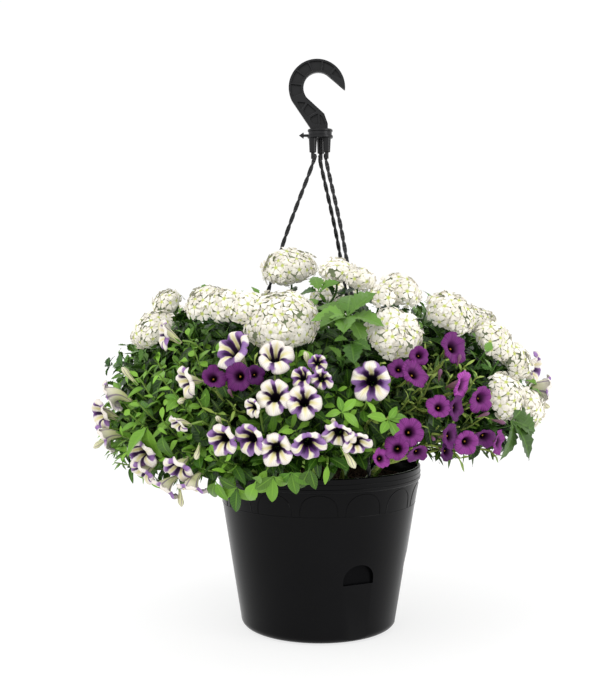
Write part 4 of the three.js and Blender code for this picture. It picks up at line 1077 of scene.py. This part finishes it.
petunia_petal, tree = finish_material("striped petunia petal", 0.55, 0.2)
reach, lobe, mark = read_value(tree, "reach"), read_value(tree, "lobe"), read_value(tree, "mark")
wander = mottled(tree, 150, 4)
wobble = times(tree, math_node(tree, "SUBTRACT", wander, 0.5), 0.5)
seam = math_node(tree, "ADD", lobe, wobble)
wedge = between(tree, math_node(tree, "ADD", times(tree, lobe, 0.9), reach), 0.5, 0.98, 1.0, 0.0)
cream = blended(tree, wedge, colour("eee8dd"), colour("e3dc98"))
edge = math_node(tree, "SUBTRACT", 0.92, times(tree, mark, 0.72))
edge = math_node(tree, "ADD", edge, times(tree, reach, 0.1))
patchy = math_node(tree, "SUBTRACT", mottled(tree, 70, 1), 0.5)
edge = math_node(tree, "ADD", edge, times(tree, patchy, 1.2))
violet_part = between(tree, math_node(tree, "SUBTRACT", seam, edge), -0.07, 0.12)
violet = blended(tree, between(tree, reach, 0.45, 1.05), colour("4a1a60"), colour("a883bd"))
face = blended(tree, violet_part, cream, violet)
dark_line = between(tree, math_node(tree, "SUBTRACT", seam, times(tree, reach, 0.62)), 0.3, 0.48)
dark_line = times(tree, dark_line, between(tree, reach, 0.5, 0.8, 1.0, 0.0))
face = blended(tree, dark_line, face, colour("2a0f3a"))
throat = between(tree, math_node(tree, "ADD", reach, times(tree, wobble, 0.25)), 0.25, 0.36, 1.0, 0.0)
face = blended(tree, throat, face, colour("120616"))
outer = blended(tree, between(tree, reach, 0.25, 0.7), colour("d9dca0"), colour("e9e2dc"))
outer = blended(tree, times(tree, between(tree, lobe, 0.7, 0.95), 0.75), outer, colour("6d4a86"))
whole = blended(tree, read_value(tree, "back"), face, outer)
veins = math_node(tree, "ADD", times(tree, lobe, 5.0), times(tree, wander, 1.2))
veins = math_node(tree, "PINGPONG", veins, 0.5)
whole = blended(tree, times(tree, veins, 0.42), whole, colour("a48cb4"), "MULTIPLY")
feed(tree, "Base Color", green_sepals(tree, whole, reach))
bumped(tree, wander, 0.25, 0.0008)


def set_out_blooms(clusters, forms, material, slot, tube, sway, rolls, seed):
    """Makes the blooms of each cluster on their places and keeps where their stalks end."""
    draw = random.Random(seed)
    for order, (name, (share, places)) in enumerate(clusters.items()):
        flowers = []
        stalk_ends[name] = []
        for index, (azimuth, height, across, turn, tilt, mark) in enumerate(closed_up(places, share)):
            site, outward = dome_site(azimuth, height)
            direction = bloom_direction(outward, turn, tilt)
            facing = bloom_direction(outward, turn + draw.uniform(-sway, sway), tilt + draw.uniform(-sway, sway))
            flowers.append((site, pose(facing, draw.uniform(-rolls, rolls)), across * MM, mark))
            stalk_ends[name].append((site - direction * (across * tube + 0.3) * MM, direction, index % 2 == 0))
            clearings.extend(site + direction * ahead * MM for ahead in (-22, -8, 4, 14))
        piece = set_out_shapes(name + "_corollas", flowers, forms, seed + order, material)
        hand_over(piece, slot, name)
    cleared(forms)


corollas = [make_corolla(PETUNIA_PROFILE, seed, bow, notch=0.19, crease=0.035, curl=0.1, ruffle=0.045, longer=0.17)
            for seed, bow in ((11, 0.8), (14, 1.15), (17, 0.5))]
set_out_blooms(PETUNIA_BLOOMS, corollas, petunia_petal, "petunia_petals", tube=PETUNIA_TUBE, sway=9, rolls=40, seed=60)
set_out_buds("petunia_buds", PETUNIA_BUDS, petunia_petal, "petunia_petals")

# ---------------------------------------------------------------------------------------
# The calibrachoas' blooms: smaller, flatter funnels in deep violet with darker veins, a dark
# ring in the throat and a yellow-orange eye.
# ---------------------------------------------------------------------------------------
CALIBRACHOA_BLOOMS = {
    "calibrachoa_upper_right": (1, [[35, 326, 32, 0, 8, 0.3]]),
    "calibrachoas_right_top": (1, [[24, 319, 20, 0, 0, 0.3], [22, 304, 30, 0, 0, 0.2], [18, 308, 20, 0, 0, 0.2]]),
    "calibrachoas_right": (0.94, [[34, 290, 33, 0, 0, 1.0], [39, 276, 28, 0, 0, 0.4], [31, 269, 26, 0, 0, 0.1],
                                  [26, 272, 24, 0, 0, 0.4]]),
    "calibrachoas_front_right": (1, [[19, 250, 28, 0, 0, 0.3], [16, 236, 26, 0, 0, 0.3], [13, 227, 20, 0, 0, 0.7],
                                     [21, 229, 22, 0, 0, 0.2]]),
    "calibrachoas_low_right": (1, [[29, 244, 26, 0, 0, 0.1], [33, 236, 26, 0, 0, 0.4], [38, 238, 26, 0, 0, 0.1],
                                   [43, 233, 26, 0, 0, 0.6], [28, 230, 20, 0, 0, 0.0]]),
    "calibrachoas_left": (0.97, [[-18, 300, 28, 0, 0, 0.1], [-24, 300, 26, 0, 0, 0.1], [-14, 303, 20, 0, 0, 0.0]]),
    "calibrachoas_back": (0.94, [[166, 272, 30, 0, 0, 0.4], [171, 282, 30, 0, 0, 0.5], [177, 272, 30, 0, 0, 0.2]]),
}
CALIBRACHOA_TUBE = 0.7
CALIBRACHOA_PROFILE = [(0.055, -0.7), (0.065, -0.54), (0.082, -0.4), (0.105, -0.29), (0.135, -0.205), (0.175, -0.14),
                       (0.225, -0.09), (0.29, -0.052), (0.36, -0.026), (0.43, -0.008), (0.5, 0.0)]
CALIBRACHOA_BUDS = [(29, 305, 17, -20, 30), (40, 262, 16, 30, 10), (25, 242, 15, -20, -10), (45, 252, 17, 35, -20),
                    (36, 318, 16, 10, 40), (-20, 288, 15, 0, 20), (171, 262, 16, 0, -20)]
EYE_LEVEL, EYE_RADIUS = -0.22, 0.034

calibrachoa_petal, tree = finish_material("violet calibrachoa petal", 0.5, 0.15)
reach, lobe = read_value(tree, "reach"), read_value(tree, "lobe")
cloudy = mottled(tree, 130, 4)
lively = math_node(tree, "ADD", times(tree, read_value(tree, "mark"), 0.8),
                   times(tree, read_value(tree, "tone"), 0.25), clamp=True)
violet = blended(tree, lively, colour("300838"), colour("c258bc"))
violet = blended(tree, times(tree, cloudy, 0.35), violet, colour("64146c"))
side_veins = math_node(tree, "ADD", times(tree, lobe, 4.0), times(tree, cloudy, 1.4))
side_veins = times(tree, math_node(tree, "PINGPONG", side_veins, 0.5), 1.1)
vein = times(tree, between(tree, lobe, 0.0, 0.16, 1.0, 0.0), 0.7)
vein = math_node(tree, "MAXIMUM", vein, side_veins, clamp=True)
violet = blended(tree, vein, violet, colour("34063a"))
face = blended(tree, between(tree, reach, 0.22, 0.5, 1.0, 0.0), violet, colour("17030f"))
face = blended(tree, between(tree, reach, -0.03, 0.05, 1.0, 0.0), face, colour("94681c"))
outer = blended(tree, between(tree, reach, 0.2, 0.8), colour("8a6a5c"), colour("843f96"))
outer = blended(tree, vein, outer, colour("4b1f63"))
feed(tree, "Base Color", green_sepals(tree, blended(tree, read_value(tree, "back"), face, outer), reach))
bumped(tree, cloudy, 0.25, 0.0008)

corollas = [make_corolla(CALIBRACHOA_PROFILE, seed, bow, notch=0.14, crease=0.04, curl=0.05, ruffle=0.05, longer=0.1,
                         steps=40, eye=(EYE_LEVEL, EYE_RADIUS))
            for seed, bow in ((21, 0.45), (22, 1.0), (23, 0.75))]
set_out_blooms(CALIBRACHOA_BLOOMS, corollas, calibrachoa_petal, "calibrachoa_petals", tube=CALIBRACHOA_TUBE, sway=12,
               rolls=130, seed=90)
set_out_buds("calibrachoa_buds", CALIBRACHOA_BUDS, calibrachoa_petal, "calibrachoa_petals")

# ---------------------------------------------------------------------------------------
# The leafy sprays: stems rise from the soil, fork under the flowers and end in leafy shoots.
# Verbena leaves are toothed and dark, petunia leaves broad and oval, calibrachoa leaves
# narrow and yellowish.
# ---------------------------------------------------------------------------------------
# Length, width, droop and fold of a plant's leaves, and the distance between them along a stem
LEAVES = {"verbena": (26, 16, 0.26, 0.3, 7.0), "petunia": (25, 12, 0.3, 0.22, 6.6),
          "calibrachoa": (19, 5, 0.22, 0.25, 4.4)}
# Place along the leaf and share of its width there
LEAF_OUTLINES = {
    "verbena": ((0.0, 0.06), (0.14, 0.1), (0.24, 0.62), (0.3, 0.5), (0.4, 0.98), (0.46, 0.74), (0.56, 1.0),
                (0.62, 0.7), (0.71, 0.82), (0.77, 0.5), (0.85, 0.52), (0.9, 0.26), (1.0, 0.0)),
    "petunia": ((0.0, 0.07), (0.12, 0.16), (0.25, 0.62), (0.4, 0.92), (0.55, 1.0), (0.7, 0.88), (0.84, 0.6),
                (0.94, 0.28), (1.0, 0.0)),
    "calibrachoa": ((0.0, 0.12), (0.15, 0.5), (0.35, 0.95), (0.6, 1.0), (0.82, 0.6), (1.0, 0.0)),
}
# Shaded, usual and sunlit leaves, and stems
LEAF_COLOURS = {
    "verbena": ("050f03", "2d5c1e", "74a042", "4a7030"),
    "petunia": ("0a1e05", "437619", "90c444", "7a9a44"),
    "calibrachoa": ("11260a", "4f7a24", "b2ca62", "8a9c4c"),
}
# Share of the droop, share of the fold and twist of each form of leaf
LEAF_FORMS = ((1.0, 1.0, 0.1), (1.9, 0.6, -0.45), (0.3, 1.6, 0.3))
SHOOT_COUNT = 900
SHOOT_LOWEST, SHOOT_HIGHEST, SHOOT_DEPTHS, SHOOT_LEAD = 158, 402, (12, 38), 46
CROWN_FROM, CROWN_DEEPER, EDGE_ROOM = 330, 14, 12
GOLDEN_ANGLE = 137.508
TRUNK_RADIUS, BRANCH_RADIUS, TWIG_RADIUS = 3.1, 1.5, 0.8
HOLE_DEPTH = 26
LEAF_SPREAD, LEAF_TURN, LEAF_CLEARING = 1.0, 2.4, 16
# Smallest and largest share of a leaf's length, width and curl, and where its face turns:
# away from the heart of the plant, and about as far to a side and up as these
LEAF_STRETCH = ((0.6, 0.6, 0.3), (1.25, 1.2, 1.6))
PLANT_HEART = (0.0, 0.0, 0.14)
LEAF_FACING = ((-0.35, -0.35, 0.1), (0.35, 0.35, 0.8))


def make_leaf(kind, droop, fold, twist, fine=False):
    """Leaf along x from its root at the origin, 1 mm long at scale 1, upper side up."""
    length, width = LEAVES[kind][:2]
    half = width / length / 2
    rows = LEAF_OUTLINES[kind]
    points, alongs, sides, faces = [], [], [], []
    across = (-1, -0.5, 0, 0.5, 1) if kind == "petunia" or fine else (-1, 0, 1)
    for along, share in rows:
        for side in across:
            y = side * half * share
            lift = fold * abs(y) * (1.2 - abs(side) * 0.6) - droop * along * along + twist * along * y
            lift += 0.02 * math.sin(9 * along + 2 * side) * abs(side)
            points.append((along - 0.4 * droop ** 2 * along ** 2, y, lift))
            alongs.append(along)
            sides.append(side)
    n = len(across)
    for row in range(len(rows) - 1):
        for k in range(n - 1):
            a = row * n + k
            faces.append((a, a + n, a + n + 1, a + 1))
    return with_values(shaped("leaf", points, faces), along=alongs, side=sides)


def leaf_forms(kind, droopier=1, sharper=1, fine=False):
    """The three forms of a plant's leaf, with their droop and fold changed by shares."""
    droop, fold = LEAVES[kind][2:4]
    return [make_leaf(kind, droop * more * droopier, fold * share * sharper, twist, fine)
            for more, share, twist in LEAF_FORMS]


def leaf_material(kind):
    """Foliage of one plant: leaves with a paler midrib and side veins, painted shade deep inside and painted sunlight
    at the tips; stems a lighter green.
    """
    dark, mid, lit, stem = (colour(text) for text in LEAF_COLOURS[kind])
    made, tree = finish_material(kind + " foliage", 0.36, 0.28)
    along, youth = read_value(tree, "along"), read_value(tree, "youth")
    patch = mottled(tree, 45, 3)
    mixed = times(tree, read_value(tree, "tone"), 0.8)
    mixed = math_node(tree, "ADD", mixed, times(tree, patch, 0.3), clamp=True)
    # Painted light and shade: leaves low on their stems take the shaded colour, those near the ends the sunlit one.
    base = blended(tree, times(tree, mixed, between(tree, youth, 0.4, 0.8, 0.25, 1.0)), dark, mid)
    base = blended(tree, times(tree, between(tree, youth, 0.72, 1.05), 0.85), base, lit)
    off = math_node(tree, "ABSOLUTE", read_value(tree, "side"))
    stripe = math_node(tree, "SUBTRACT", times(tree, along, 9.0), times(tree, off, 1.4))
    side_vein = between(tree, math_node(tree, "PINGPONG", stripe, 0.5), 0.03, 0.12, 1.0, 0.0)
    vein = math_node(tree, "MAXIMUM", between(tree, off, 0.04, 0.14, 1.0, 0.0), times(tree, side_vein, 0.4))
    base = blended(tree, times(tree, vein, 0.35), base, lit)
    feed(tree, "Base Color", blended(tree, between(tree, along, -0.5, -0.4, 1.0, 0.0), base, stem))
    bumped(tree, math_node(tree, "ADD", times(tree, vein, -0.7), times(tree, patch, 0.4)), 0.35, 0.0008)
    return made


def vector_math(tree, operation, *values):
    """Vector that a vector math node makes of these."""
    return place(tree, "ShaderNodeVectorMath", enumerate(values), operation=operation).outputs[0]


spray_tree, given, out = node_tree("leafy stems", Int=["Seed"], Material=["Material"],
                                   Object=["First leaf", "Second leaf", "Third leaf", "Keep clear"],
                                   Float=["Leaf length", "Spacing", "Spread", "Turn a leaf", "Clearing"])
seed = given["Seed"]
run = place(spray_tree, "GeometryNodeMeshToCurve", {"Mesh": given["Geometry"]})
ring = place(spray_tree, "GeometryNodeCurvePrimitiveCircle", {"Resolution": 5, "Radius": 1.0})
stems = place(spray_tree, "GeometryNodeCurveToMesh", {
    "Curve": run, "Profile Curve": ring, "Scale": stored(spray_tree, "thickness"), "Fill Caps": True})
stems = marked(spray_tree, stems, "along", -1.0)
nodes = place(spray_tree, "GeometryNodeCurveToPoints", {"Curve": run, "Length": given["Spacing"]}, mode="LENGTH")
number = place(spray_tree, "GeometryNodeInputIndex").outputs[0]
side = place(spray_tree, "ShaderNodeVectorRotate", {
    "Vector": nodes.outputs["Normal"], "Axis": nodes.outputs["Tangent"],
    "Angle": times(spray_tree, number, given["Turn a leaf"])}, rotation_type="AXIS_ANGLE")
lean = scaled(spray_tree, side.outputs[0], given["Spread"])
aim = vector_math(spray_tree, "ADD", nodes.outputs["Tangent"], lean)
lay = place(spray_tree, "FunctionNodeAlignRotationToVector", {"Vector": aim}, axis="X")
here = place(spray_tree, "GeometryNodeInputPosition").outputs[0]
outwards = vector_math(spray_tree, "NORMALIZE", vector_math(spray_tree, "SUBTRACT", here, PLANT_HEART))
light = vector_math(spray_tree, "ADD", outwards, varied(spray_tree, *LEAF_FACING, seed))
lay = place(spray_tree, "FunctionNodeAlignRotationToVector", {"Rotation": lay, "Vector": light},
            axis="Z", pivot_axis="X")
leafy = stored(spray_tree, "leafiness")
space = place(spray_tree, "GeometryNodeObjectInfo", {"Object": given["Keep clear"], "As Instance": False})
near = place(spray_tree, "GeometryNodeProximity", {0: space.outputs["Geometry"]}, target_element="POINTS")
clear = math_node(spray_tree, "GREATER_THAN", near.outputs["Distance"], given["Clearing"])
grows = math_node(spray_tree, "GREATER_THAN", times(spray_tree, leafy, clear), 0.02)
stretch = varied(spray_tree, *LEAF_STRETCH, seed)
big = scaled(spray_tree, scaled(spray_tree, stretch, given["Leaf length"]), leafy)
set_out = place(spray_tree, "GeometryNodeInstanceOnPoints", {
    "Points": nodes, "Selection": grows, "Rotation": lay, "Scale": big, **picked(spray_tree, given, "leaf")})
toned = marked(spray_tree, set_out, "tone", varied(spray_tree, 0.0, 1.0, seed), "INSTANCE")
finish_tree(spray_tree, out, given["Material"], toned, stems)

# Azimuth and radius of the foot, radius and height of the fork, the flowers that the spray
# carries, and its leafy shoots as azimuth and height
SPRAYS = {
    "verbena_spray_top": (-3, 14, 66, 330, ["verbena_head_top", "verbena_heads_crown"], []),
    "verbena_spray_front": (-21, 30, 100, 300, ["verbena_heads_front"], []),
    "verbena_spray_left": (-57, 38, 105, 285, ["verbena_heads_left"], [(-74, 304)]),
    "verbena_spray_right": (19, 36, 100, 290, ["verbena_head_right", "verbena_heads_upper_right"],
                            [(7, 355), (6, 328)]),
    "verbena_spray_shoulder": (50, 36, 110, 275, ["verbena_head_shoulder", "verbena_heads_far_right"], [(72, 350)]),
    "verbena_spray_low_right": (58, 66, 130, 222, ["verbena_heads_low_right"], [(65, 228)]),
    "verbena_spray_back_left": (-116, 34, 100, 285, ["verbena_head_back_left"], [(-98, 318), (-138, 345)]),
    "verbena_spray_back_right": (110, 34, 100, 285, ["verbena_head_back_right"], [(135, 345)]),
    "verbena_spray_back_top": (178, 16, 70, 325, ["verbena_head_back_top"], [(-160, 330)]),
    "petunia_spray_upper_left": (-38, 54, 120, 255, ["petunia_upper_left", "petunia_pale_left", "petunia_profile_left"],
                                 [(-40, 320)]),
    "petunia_spray_side_left": (-66, 72, 135, 208, ["petunias_side_left"], [(-78, 240), (-72, 185)]),
    "petunia_spray_low_left": (-42, 84, 138, 196, ["petunias_low_left", "petunias_trailing_left", "petunia_small_left"],
                               [(-21, 190), (-55, 170)]),
    "petunia_spray_centre": (-4, 54, 120, 248, ["petunia_faded_top", "petunias_centre", "petunia_facing_front"], []),
    "petunia_spray_front": (-3, 84, 140, 204, ["petunias_front"], [(-12, 204), (2, 212)]),
    "petunia_spray_back": (-130, 70, 130, 215, ["petunias_side_back"], [(-142, 225), (-108, 215)]),
    "petunia_spray_right_side": (84, 66, 130, 220, ["petunias_right_side"], [(98, 225), (106, 285)]),
    "calibrachoa_spray_left": (-17, 68, 128, 236, ["calibrachoas_left"], [(-25, 268)]),
    "calibrachoa_spray_right": (24, 60, 125, 240, ["calibrachoa_upper_right", "calibrachoas_right_top",
                                                   "calibrachoas_right"], []),
    "calibrachoa_spray_low_right": (36, 84, 140, 204, ["calibrachoas_front_right", "calibrachoas_low_right"],
                                    [(36, 210), (50, 205)]),
    "calibrachoa_spray_back": (166, 70, 130, 215, ["calibrachoas_back"], [(148, 235), (-168, 225)]),
}
FLOWER_PLACES = {name: [p[:2] for p in heads] for name, heads in VERBENA_HEADS.items()}
for clusters in (PETUNIA_BLOOMS, CALIBRACHOA_BLOOMS):
    FLOWER_PLACES.update({name: [p[:2] for p in places] for name, (share, places) in clusters.items()})
# Lowest height that the foliage hangs to, by azimuth
LOW_EDGE = [(-180, 205), (-120, 190), (-80, 176), (-60, 168), (-30, 176), (-20, 186), (-8, 212), (10, 217),
            (22, 222), (35, 231), (60, 234), (100, 205), (180, 205)]


def low_edge(azimuth):
    """Height of the foliage's lower edge at an azimuth."""
    return float(np.interp(azimuth, [a for a, _ in LOW_EDGE], [z for _, z in LOW_EDGE]))


def trunk_path(azimuth, foot, reach, height):
    """Smooth path of a trunk from its hole in the soil to the fork."""
    middle = polar(azimuth, foot + 0.45 * (reach - foot), SOIL_TOP + 0.75 * (height - SOIL_TOP))
    levels = [SOIL_TOP - HOLE_DEPTH + 0.3, SOIL_TOP - 2, SOIL_TOP + 9]
    return smooth_path([polar(azimuth, foot, z) for z in levels] + [middle, polar(azimuth, reach, height)], 5)


def add_run(runs, path, thick_from, thick_to, leafy_from=2.0, leaf_end=0.6):
    """Adds a stem: its path, its radius at each end and where along it its leaves begin."""
    n = len(path) - 1
    share = [i / n for i in range(n + 1)]
    runs["paths"].append(path)
    runs["thickness"] += [(thick_from + (thick_to - thick_from) * t) * MM for t in share]
    runs["leafiness"] += [0.0 if t < leafy_from else
                          1.0 - (1.0 - leaf_end) * ((t - leafy_from) / (1 - leafy_from)) ** 2 for t in share]
    # The share along the stem sets its leaves' painted light: painted shade near the foot, painted sunlight at the end.
    runs["youth"] += share


LEAD, SHOOT_INSET = 14, 22
clearing_cloud = shaped("clearings", clearings, [])
spray_runs = {}
sites = []
for name, (azimuth, foot, reach, height, feeds, shoots) in SPRAYS.items():
    runs = {"paths": [], "thickness": [], "leafiness": [], "youth": []}
    trunk = trunk_path(azimuth, foot, reach, height)
    add_run(runs, trunk, TRUNK_RADIUS, TRUNK_RADIUS * 0.7)
    fork, last = trunk[-1], trunk[-5]
    ends = [end for feed_name in feeds for end in stalk_ends[feed_name]]
    for shoot in shoots:
        site, outward = dome_site(*shoot)
        ends.append((site - outward * SHOOT_INSET * MM, outward, True))
    carried = sorted([end for end in ends if end[2]], key=lambda end: -end[0].z)
    halves = []
    for order, (end, direction, _) in enumerate(carried):
        start = fork.lerp(last, 0.05 + 0.9 * order / len(carried))
        lead = end - direction * LEAD * MM
        half = start.lerp(lead, 0.55)
        half.z += 0.05 * (start - end).length
        halves.append(half)
        add_run(runs, smooth_path([start, half, lead, end], 5), BRANCH_RADIUS, BRANCH_RADIUS * 0.75, 0.35, 0.75)
    for end, direction, from_trunk in ends:
        if not from_trunk:
            lead = end - direction * LEAD * MM
            start = min(halves, key=lambda half: (half - lead).length)
            path = smooth_path([start, start.lerp(lead, 0.6), lead, end], 4)
            add_run(runs, path, BRANCH_RADIUS * 0.9, BRANCH_RADIUS * 0.7, 0.35, 0.75)
    spray_runs[name] = (runs, trunk)
    spots = [spot for feed_name in feeds for spot in FLOWER_PLACES[feed_name]] + shoots
    sites += [(dome_site(*spot)[0], name) for spot in spots]

draw = random.Random(17)
for i in range(SHOOT_COUNT):
    height = SHOOT_LOWEST + (SHOOT_HIGHEST - SHOOT_LOWEST) * (i + 0.5) / SHOOT_COUNT
    azimuth = (i * GOLDEN_ANGLE) % 360 - 180
    inset = draw.uniform(*SHOOT_DEPTHS) + (CROWN_DEEPER if height > CROWN_FROM else 0)
    deeper = draw.random()
    if height < low_edge(azimuth) + EDGE_ROOM:
        continue
    site, outward = dome_site(azimuth + draw.uniform(-3, 3), height + draw.uniform(-5, 5))
    end = site - outward * inset * MM
    runs, trunk = spray_runs[min(sites, key=lambda s: (s[0] - site).length)[1]]
    start = trunk[-1 - int(deeper * 7)]
    lead = end - (outward * 0.6 + Vector((0, 0, 0.45 * draw.random()))) * SHOOT_LEAD * MM
    middle = start.lerp(lead, 0.5) + Vector((0, 0, 0.08 * (start - end).length))
    add_run(runs, smooth_path([start, middle, lead, end], 5), BRANCH_RADIUS * 0.8, TWIG_RADIUS, 0.38, 0.55)

for order, (name, (runs, trunk)) in enumerate(spray_runs.items()):
    kind = name.split("_")[0]
    material = bpy.data.materials.get(kind + " foliage") or leaf_material(kind)
    leaves = leaf_forms(kind)
    bare = lines(name + "_leaves", runs.pop("paths"), **runs)
    spray = grown(bare, spray_tree, first_leaf=leaves[0], second_leaf=leaves[1], third_leaf=leaves[2],
                  leaf_length=LEAVES[kind][0] * MM, spacing=LEAVES[kind][4] * MM, spread=LEAF_SPREAD,
                  turn_a_leaf=LEAF_TURN, keep_clear=clearing_cloud, clearing=LEAF_CLEARING * MM, seed=order,
                  material=material)
    spray.data.shade_smooth()
    hand_over(dress(spray, material), kind + "_foliage", name)
    cleared(leaves)
cleared([clearing_cloud])

# Single leaves that show at the front: azimuth, height and painted light of each tuft (how lit
# its leaves are painted), and the angle and length of its leaves
SHOWN_LEAVES = {
    "verbena": [
        (8, 361, 0.93, [(80, 38), (130, 36), (175, 34), (215, 38), (255, 40), (300, 36), (340, 38), (25, 36), (60, 22),
                        (190, 20)]),
        (8, 337, 0.85, [(268, 34), (200, 22), (330, 22)]),
        (50, 252, 0.78, [(-62, 46), (-20, 38), (-105, 40), (40, 30)]),
        (-71, 302, 0.72, [(170, 13), (140, 14), (200, 13), (110, 13), (235, 13), (80, 12), (20, 12), (300, 12)]),
        (-60, 306, 0.7, [(190, 16), (240, 15), (130, 15)]), (0, 385, 0.85, [(100, 26), (160, 24), (30, 24)])],
    "petunia": [
        (-14, 199, 0.84, [(-120, 27), (-62, 26), (-15, 24), (60, 20)]),
        (-10, 205, 0.8, [(-95, 26), (-35, 24), (-150, 22)]), (-6, 210, 0.84, [(-80, 24), (-140, 22), (-25, 22)]),
        (-19, 190, 0.82, [(-100, 26), (-160, 24), (-55, 24), (150, 20)]), (-2, 214, 0.8, [(-70, 20), (-120, 22)]),
        (-24, 196, 0.78, [(-120, 24), (-60, 22)]), (-42, 249, 0.84, [(-112, 36), (-78, 34)]),
        (-37, 243, 0.8, [(-95, 32)]), (15, 262, 0.84, [(10, 20), (60, 15), (160, 20), (230, 18), (300, 20)]),
        (5, 270, 0.84, [(45, 18), (100, 15), (175, 15), (330, 20)])],
}
SHOWN_INSET = 8
# Shaded leaves that fill the inside of the planting
INNER_LEAVES, INNER_LOWEST, INNER_HIGHEST = 900, 190, 385


def blade(azimuth, height, inset, angle, length, out=0.45):
    """Place, turn and size of a single leaf that grows at an angle, under the outline by the inset."""
    site, outward = dome_site(azimuth, height)
    right = Vector((0, 0, 1)).cross(outward).normalized()
    upward = outward.cross(right)
    a = math.radians(angle)
    along = (right * math.cos(a) + upward * math.sin(a) + outward * out).normalized()
    face = outward + upward * 0.3
    face = (face - along * face.dot(along)).normalized()
    turn = Matrix((along, face.cross(along), face)).transposed().to_euler()
    return site - outward * inset * MM, turn, length * MM, 0.0


def set_out_leaves(name, kind, blades, youth):
    """Sets single leaves of one plant out on their places as a piece of their own."""
    leaves = leaf_forms(kind, 1.4, 1.8, True)
    piece = set_out_shapes(name, blades, leaves, 4, bpy.data.materials[kind + " foliage"], youth=youth)
    hand_over(piece, kind + "_foliage")
    cleared(leaves)


draw = random.Random(29)
for kind, tufts in SHOWN_LEAVES.items():
    blades, youth = [], []
    for azimuth, height, tuft_light, leaves in tufts:
        blades += [blade(azimuth, height, SHOWN_INSET, angle, length, draw.uniform(0.1, 0.9))
                   for angle, length in leaves]
        youth += [tuft_light + draw.uniform(-0.1, 0.1) for _ in leaves]
    set_out_leaves("shown_%s_leaves" % kind, kind, blades, youth)
blades = []
for i in range(INNER_LEAVES):
    height = INNER_LOWEST + (INNER_HIGHEST - INNER_LOWEST) * (i + 0.5) / INNER_LEAVES
    azimuth = (i * GOLDEN_ANGLE) % 360 - 180
    if height > low_edge(azimuth) - 4:
        blades.append(blade(azimuth, height, draw.uniform(34, 60), draw.uniform(0, 360), draw.uniform(26, 36), 0.1))
# The inner leaves carry little painted light, so they are painted dark as shade.
set_out_leaves("inner_leaves", "petunia", blades, [0.3] * len(blades))

# ---------------------------------------------------------------------------------------
# The studio: a plain pale floor, soft light from all round, and a camera at the height of
# the flowers, a little above the pot.
# ---------------------------------------------------------------------------------------
FLOOR_LEVEL, FLOOR_REACH = -0.001, 30
ROOM_LIGHT = 1.03
# Focal length and sensor width in mm, place in metres, and how far the view tips down and turns
LENS, SENSOR, CAMERA_PLACE, CAMERA_DIP, CAMERA_TURN = 59.3, 36, (0, -1.303, 0.385), 3.2, 0.94

floor_paint, tree = finish_material("pale floor", 0.9, 0.0, ((1, 1, 1, 1), 0.73))
haze = mottled(tree, 0.6, 1)
feed(tree, "Base Color", ramp(tree, haze, (0.2, colour("969696")), (0.8, colour("9c9c9c"))))
corners = [(x * FLOOR_REACH, y * FLOOR_REACH, FLOOR_LEVEL) for x, y in ((-1, -1), (1, -1), (1, 1), (-1, 1))]
floor = shaped("studio_floor", corners, [(0, 1, 2, 3)])
dress(floor, floor_paint)

world = bpy.data.worlds.new("studio")
bpy.context.scene.world = world
world.use_nodes = True
room = world.node_tree.nodes["Background"].inputs
room["Color"].default_value, room["Strength"].default_value = (1, 1, 1, 1), ROOM_LIGHT
bpy.context.scene.view_settings.view_transform = "Standard"


def soft_light(name, at, target, size, power):
    """Large square lamp that looks at a point."""
    data = bpy.data.lights.new(name, "AREA")
    data.shape, data.size, data.energy = "SQUARE", size, power
    lamp = bpy.data.objects.new(name, data)
    bpy.context.scene.collection.objects.link(lamp)
    lamp.location = at
    lamp.rotation_euler = (Vector(target) - Vector(at)).to_track_quat("-Z", "Y").to_euler()


soft_light("key light", (-0.9, -1.6, 1.8), (0, 0, 0.25), 0.9, 15)
soft_light("right light", (1.6, -0.9, 0.5), (0, 0, 0.15), 0.8, 8)

camera_data = bpy.data.cameras.new("camera")
camera_data.lens, camera_data.sensor_width = LENS, SENSOR
camera = bpy.data.objects.new("camera", camera_data)
bpy.context.scene.collection.objects.link(camera)
camera.location = CAMERA_PLACE
camera.rotation_euler = Euler((math.radians(90 - CAMERA_DIP), 0, math.radians(CAMERA_TURN)))
bpy.context.scene.camera = camera
